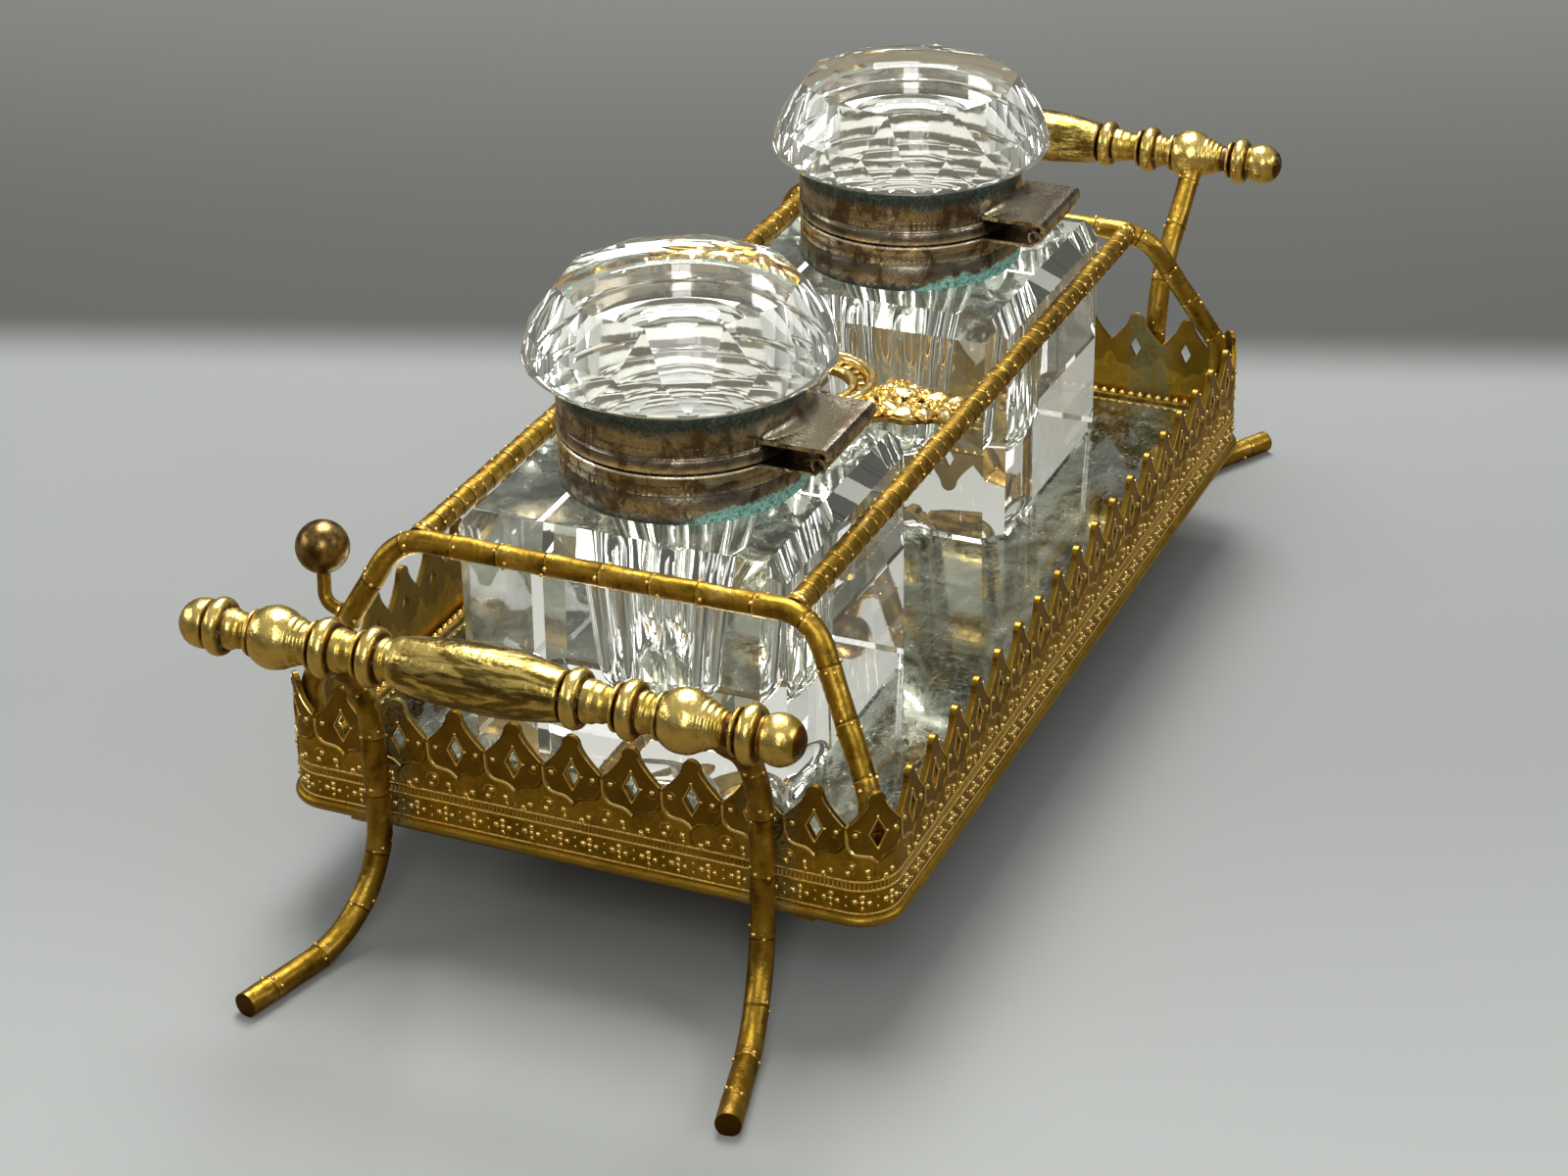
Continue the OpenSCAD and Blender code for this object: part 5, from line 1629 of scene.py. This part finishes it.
class INKSTAND_OT_wells(bpy.types.Operator):
    """Cuts the crystal wells and their lids"""

    bl_idname = "inkstand.wells"
    bl_label = "Crystal"

    def execute(self, context):
        for end in ENDS:
            self.well(end)
            self.lid(end)
            dress(f"{end}_neck_cement", plaster_material())
            dress(f"{end}_lid_cement", plaster_material())
        return {"FINISHED"}

    def well(self, end):
        node = f"{end}_crystal_body"
        centre, half, bottom, neck_top = round_size(node)
        foot = bottom + 0.04
        top = bottom + WELL_H
        bevel = top - WELL_BEVEL_H
        slope = WELL_BEVEL_W / WELL_BEVEL_H
        # height at which the corner cut runs out between two bevels
        meet = WELL_CHAMFER / 2 / slope
        rings = [square_ring(half - 0.5, WELL_CHAMFER, foot), square_ring(half, WELL_CHAMFER, foot + 0.5),
                 square_ring(half, WELL_CHAMFER, bevel),
                 square_ring(half - meet * slope, 0.0, bevel + meet),
                 square_ring(half - WELL_BEVEL_W, 0.0, top),
                 round_ring(NECK_R_GLASS + 0.5, top), round_ring(NECK_R_GLASS, top + 0.4),
                 round_ring(NECK_R_GLASS, neck_top - 0.4), round_ring(NECK_R_GLASS - 0.4, neck_top),
                 round_ring(MOUTH_R + 0.3, neck_top), round_ring(MOUTH_R, neck_top - 0.3)]
        pit = foot + WELL_FLOOR
        rings.append(round_ring(MOUTH_R, bevel + 1.0))
        for t in np.linspace(0.04, 1.0, 10):
            z = bevel + (pit + PIT_ROUND - bevel) * t
            rings.append(round_ring(MOUTH_R + (PIT_R - MOUTH_R) * t, z, min(1.0, t * 5)))
        for a in np.linspace(0.14, 1.0, 8):
            turn = a * math.pi / 2
            r = PIT_R - PIT_ROUND + PIT_ROUND * math.cos(turn)
            rings.append(round_ring(r, pit + PIT_ROUND - PIT_ROUND * math.sin(turn), math.cos(turn)))
        rings += [round_ring(PIT_R - PIT_ROUND - 2.4, pit - 0.05), round_ring(AXIS_R, pit - 0.05)]
        shape = Shape()
        columns = 4 * COLUMNS
        points = np.array([p for ring in rings for p in ring]) + centre
        faces = grid_faces(len(rings), columns) + [tuple(range(columns))[::-1]]
        shape.add(points, faces)
        finish = crystal_material("well", looks().well_glow)
        build(f"{end}_crystal_cut", shape, finish, f"{end}_well", [node],
              angle=24, weld=CRYSTAL_WELD)

    def lid(self, end):
        node = f"{end}_lid_crystal"
        centre, girdle_r, bottom, table_z = round_size(node)
        girdle_z = table_z - LID_RISE
        under_z = girdle_z - LID_UNDER
        sides, split = LID_SIDES, LID_SPLIT
        tables = sides // 2

        def spot(r, z, step):
            turn = 2 * math.pi * step / sides
            return np.array((r * math.cos(turn), r * math.sin(turn), z))

        # girdle: straight between its corners, and split so that the round underside can follow
        corners = [spot(girdle_r, girdle_z, i + 0.5) for i in range(sides)]
        points = []
        for a, b in zip(corners, corners[1:] + corners[:1]):
            points += [a + (b - a) * k / split for k in range(split)]
        girdle = sides * split
        shoulder = len(points)
        points += [spot(girdle_r - SHOULDER_IN, girdle_z + SHOULDER_UP, i) for i in range(sides)]
        table = len(points)
        points += [spot(girdle_r - TABLE_IN, table_z, 2 * i + 0.5) for i in range(tables)]
        faces = [tuple(table + i for i in range(tables))]
        for i in range(sides):
            after = (i + 1) % sides
            # the girdle's stretch from corner i to the next lies under shoulder corner i + 1
            stretch = [(i * split + k) % girdle for k in range(split + 1)]
            faces.append((*stretch, shoulder + after))
            faces.append((i * split, shoulder + after, shoulder + i))
        for k in range(tables):
            a, b, c = (2 * k) % sides, (2 * k + 1) % sides, (2 * k + 2) % sides
            faces.append((shoulder + a, shoulder + b, table + k))
            faces.append((shoulder + b, shoulder + c, table + (k + 1) % tables, table + k))
        # the underside curves in to the collar, drops as the spigot and is hollowed from below
        under = [(girdle_r - 0.45, girdle_z - 0.45), (girdle_r - 1.1, girdle_z - 1.0),
                 (girdle_r - 2.2, girdle_z - 1.6), (girdle_r - 3.6, girdle_z - 2.1),
                 (17.1, under_z + 0.1), (16.1, under_z + 0.05), (SPIGOT_R, under_z - 0.2),
                 (SPIGOT_R, bottom + 0.6), (15.6, bottom + 0.1), (15.0, bottom)]
        under += [(HOLLOW_R * math.cos(a), bottom + HOLLOW_H * math.sin(a))
                  for a in np.linspace(0, math.pi / 2 * 0.97, 8)]
        row = list(range(girdle))
        for r, z in under:
            start = len(points)
            points += [spot(r, z, i / split + 0.5) for i in range(girdle)]
            fresh = list(range(start, start + girdle))
            faces += zip(row, fresh, fresh[1:] + fresh[:1], row[1:] + row[:1])
            row = fresh
        faces.append(tuple(row))
        shape = Shape()
        shape.add(np.array(points) + centre, faces)
        finish = crystal_material("lid", looks().lid_glow)
        build(f"{end}_lid_cut", shape, finish, f"{end}_lid", [node],
              angle=7, weld=CRYSTAL_WELD)


# ---- collars and hinges ----

COLLAR_T = 0.9
MILL_TEETH = 132
MILL_DEPTH = 0.1
MILL_IN = 0.18
# hinge: middle of the rolled sheet, its thickness, half the middle knuckle and the gap beside it
BARREL_MIDDLE, BARREL_T = 0.98, 0.34
MID_KNUCKLE, KNUCKLE_GAP = 4.2, 0.25
PLATE_T, LEAF_T = 0.66, 0.5
WIRE_SHORT = 1.3


def milled_band(radius, z, height, centre):
    """A narrow band of upright teeth round a collar, with five steps to a tooth."""
    steps = MILL_TEETH * 5
    turn = np.linspace(0, 2 * math.pi, steps, endpoint=False)
    tooth = np.array([0.0, 0.9, 1.0, 1.0, 0.9])[np.arange(steps) % 5]
    rows = [(-0.5, 0.0), (-0.36, 1.0), (0.36, 1.0), (0.5, 0.0)]
    points, wear_and_highlight = [], []
    for share, out in rows:
        r = radius - 0.03 + MILL_DEPTH * out * tooth
        points.extend(zip(r * np.cos(turn), r * np.sin(turn), np.full(steps, z + share * height)))
        wear_and_highlight.extend(0.05 + 0.75 * tooth)
    shape = Shape()
    shape.add(np.array(points) + centre, grid_faces(len(rows), steps), wear_and_highlight)
    return shape


def bent_sheet(profile, thickness, stations, start=None):
    """Sheet metal bent to a side view of (y, z) points at each of its stations along X.

    It starts at the profile's first point, or at y = start(x).
    """
    points = []
    for x in stations:
        line = [np.array(spot, float) for spot in profile]
        if start:
            line[0][0] = start(x)
        rows = {0.5: [], -0.5: []}
        for i, spot in enumerate(line):
            along = line[min(i + 1, len(line) - 1)] - line[max(i - 1, 0)]
            out = np.array((-along[1], along[0])) / np.linalg.norm(along)
            for side, row in rows.items():
                y, z = spot + out * thickness * side
                row.append((x, y, z))
        points += rows[0.5] + rows[-0.5][::-1]
    n = len(profile)
    loop = 2 * n
    faces = grid_faces(len(stations), loop)
    for first in (0, (len(stations) - 1) * loop):
        last = first + loop - 1
        faces += [(first + i, first + i + 1, last - 1 - i, last - i) for i in range(n - 1)]
    shape = Shape()
    shape.add(points, faces, 0.5)
    return shape


def green_side(centre):
    """Weights that grow from the middle of a well towards its near and hinge sides."""
    return 0.26, 0.96, -0.26 * centre[0]


class INKSTAND_OT_collars(bpy.types.Operator):
    """Spins the nickelled collars with their milled bands, and finishes the hinges"""

    bl_idname = "inkstand.collars"
    bl_label = "Collars and hinges"

    def execute(self, context):
        for end in ENDS:
            self.lower(end)
            self.upper(end)
            self.hinge(end)
        return {"FINISHED"}

    def lower(self, end):
        node = f"{end}_lower_collar"
        centre, r, z0, z1 = round_size(node)
        inner = r - COLLAR_T
        profile = [(inner, z0), (r - 0.25, z0), (r - 0.02, z0 + 0.25), (r - 0.05, z0 + 0.8),
                   (r - 0.1, z0 + 4.1), (r - MILL_IN, z0 + 4.2), (r - MILL_IN, z0 + 5.9),
                   (r - 0.06, z0 + 6.0), (r - 0.03, z1 - 0.7), (r - 0.02, z1 - 0.2), (r - 0.2, z1),
                   (MOUTH_R + 0.2, z1), (MOUTH_R, z1 - 0.2), (MOUTH_R, z1 - 0.8), (inner, z1 - 0.8),
                   (inner, z0)]
        wear_and_highlight = [0.3, 0.3, 0.5, 0.4, 0.5, 0.2, 0.2, 0.6, 0.6, 1.0, 1.0, 0.8, 0.6, 0.3, 0.3, 0.3]
        shape = lathe(profile, 96, wear_and_highlight, centre)
        shape.join(milled_band(r - MILL_IN, z0 + 5.05, 1.5, centre))
        finish = nickel(f"{end}_lower_nickel", z0, 1.0, 0.7, green_side(centre))
        build(f"{end}_lower_collar_spun", shape, finish, f"{end}_well", [node], angle=40)

    def upper(self, end):
        node = f"{end}_upper_collar"
        centre, r, z0, z1 = round_size(node)
        inner = r - COLLAR_T
        profile = [(MOUTH_R, z0 + 0.2), (MOUTH_R + 0.2, z0), (r - 0.3, z0), (r - 0.02, z0 + 0.3),
                   (r - 0.04, z0 + 1.9), (r - 0.2, z0 + 2.1), (r - 0.04, z0 + 2.35), (r - MILL_IN, z0 + 2.6),
                   (r - MILL_IN, z0 + 4.0), (r - 0.06, z0 + 4.1), (r - 0.1, z1 - 1.2), (r - 0.02, z1 - 0.5),
                   (r - 0.15, z1 - 0.05), (inner, z1), (inner, z0 + 0.8), (MOUTH_R, z0 + 0.8),
                   (MOUTH_R, z0 + 0.2)]
        wear_and_highlight = [0.4, 0.5, 0.8, 1.0, 0.6, 0.2, 0.9, 0.3, 0.3, 0.6, 0.4, 0.3, 0.3, 0.3, 0.3, 0.3, 0.4]
        shape = lathe(profile, 96, wear_and_highlight, centre)
        shape.join(milled_band(r - MILL_IN, z0 + 3.3, 1.3, centre))
        finish = nickel(f"{end}_upper_nickel", z1, -1.0, 2.4, NO_GREEN)
        build(f"{end}_upper_collar_spun", shape, finish, f"{end}_lid", [node], angle=40)

    def hinge(self, end):
        """Two bent leaves, a rolled barrel in three knuckles and the wire through it."""
        middle, half, _, leaf_top = round_size(f"{end}_hinge_upper_leaf")
        pin_low, pin_high = node_box(f"{end}_hinge_pin")
        y, z = (pin_low[1] + pin_high[1]) / 2, (pin_low[2] + pin_high[2]) / 2
        r = round_size(f"{end}_lower_collar")[1]
        stations = np.linspace(-half, half, 15)

        def wall(x):
            return math.sqrt((r - 0.3) ** 2 - x * x)

        def moved(shape):
            return shape.mapped(lambda points: points + middle)

        def rolled(start, stop, steps):
            turn = np.radians(np.linspace(start, stop, steps))
            return [(y + BARREL_MIDDLE * math.cos(a), z + BARREL_MIDDLE * math.sin(a)) for a in turn]

        top = leaf_top - 0.35
        plate = [(0, top), (y - 3.0, top), (y - 0.4, top - 0.02), (y + 0.35, top + 0.08), (y + 0.95, top),
                 (y + 1.27, top - 0.35), (y + 1.36, top - 0.9), (y + 1.3, top - 1.35)]
        upper = bent_sheet(plate, PLATE_T, stations, wall)
        roll = [(y + 1.3, top - 1.3)] + rolled(25, -285, 23)
        upper.join(bent_sheet(roll, BARREL_T, np.linspace(-MID_KNUCKLE, MID_KNUCKLE, 3)))
        build(f"{end}_hinge_plate", moved(upper), hinge_material(), f"{end}_lid",
              [f"{end}_hinge_upper_leaf"], angle=30)

        floor = z - BARREL_MIDDLE - BARREL_T / 2
        leaf = [(0, floor - 0.3), (y - 2.2, floor - 0.3), (y - 0.9, floor - 0.28), (y - 0.45, floor - 0.27)]
        lower = bent_sheet(leaf, LEAF_T, stations, wall)
        for side in (-1, 1):
            reach = sorted((side * (MID_KNUCKLE + KNUCKLE_GAP), side * (half - 0.05)))
            lower.join(bent_sheet(rolled(-95, 235, 25), BARREL_T, np.linspace(*reach, 3)))
        build(f"{end}_hinge_base", moved(lower), hinge_material(), f"{end}_well",
              [f"{end}_hinge_lower_leaf"], angle=30)

        ends = half - WIRE_SHORT
        path = np.array([(x, y, z) for x in np.linspace(-ends, ends, 4)])
        wire = tube(path, (pin_high[2] - pin_low[2]) / 2, 16)
        build(f"{end}_hinge_wire", moved(wire), pin_material(), f"{end}_well",
              [f"{end}_hinge_pin"])
        self.gusset(end)

    def gusset(self, end):
        """The hollow curve by which the upper leaf runs up into the collar's wall."""
        _, half, _, z = round_size(f"{end}_hinge_upper_leaf")
        centre, r, _, _ = round_size(f"{end}_upper_collar")
        x0 = centre[0]
        size = 2.6
        half -= 0.1
        rows, columns = 9, 25
        points = []
        for j in range(columns):
            x = -half + 2 * half * j / (columns - 1)
            reach = size * (0.35 + 0.65 * math.cos(x / half * math.pi / 2) ** 0.6)
            wall = math.sqrt(r * r - x * x) - 0.06
            for i in range(rows):
                turn = math.pi / 2 * i / (rows - 1)
                rise = reach * (1 - math.cos(turn))
                points.append((x0 + x, wall + reach * (1 - math.sin(turn)), z - 0.05 + rise))
        shape = Shape()
        n = len(points)
        under = [(px, py - 0.12, pz - 0.12) for px, py, pz in points]
        rim = rim_of(columns, rows)
        faces = sheet_faces(columns, rows)
        faces += [(a, a + n, b + n, b) for a, b in zip(rim, rim[1:] + rim[:1])]
        shape.add(points + under, faces, 0.5)
        build(f"{end}_hinge_gusset", shape, hinge_material(), f"{end}_lid")


# ---- panel and registration ----

OPERATORS = (INKSTAND_OT_stage, INKSTAND_OT_tray, INKSTAND_OT_gallery, INKSTAND_OT_beads, INKSTAND_OT_frame,
             INKSTAND_OT_legs, INKSTAND_OT_handles, INKSTAND_OT_pen_rest, INKSTAND_OT_ornament,
             INKSTAND_OT_wells, INKSTAND_OT_collars)
SETTINGS = {"inkstand_finish": InkstandFinish, "inkstand_chasing": InkstandChasing,
            "inkstand_stage": InkstandStage}


class INKSTAND_PT_panel(bpy.types.Panel):
    """Lists the settings and the pieces"""

    bl_idname = "INKSTAND_PT_panel"
    bl_label = "Desk Inkstand"
    bl_space_type = "VIEW_3D"
    bl_region_type = "UI"
    bl_category = "Inkstand"

    def draw(self, context):
        for name, group in SETTINGS.items():
            box = self.layout.box()
            for key in group.__annotations__:
                box.prop(getattr(context.scene, name), key)
        for operator in OPERATORS:
            self.layout.operator(operator.bl_idname)


CLASSES = tuple(SETTINGS.values()) + OPERATORS + (INKSTAND_PT_panel,)


def register():
    for cls in CLASSES:
        bpy.utils.register_class(cls)
    for name, group in SETTINGS.items():
        setattr(bpy.types.Scene, name, PointerProperty(type=group))


def unregister():
    for name in SETTINGS:
        delattr(bpy.types.Scene, name)
    for cls in reversed(CLASSES):
        bpy.utils.unregister_class(cls)


def main():
    """Builds the stage and every piece."""
    register()
    for operator in OPERATORS:
        group, name = operator.bl_idname.split(".")
        getattr(getattr(bpy.ops, group), name)()


if __name__ == "__main__":
    main()
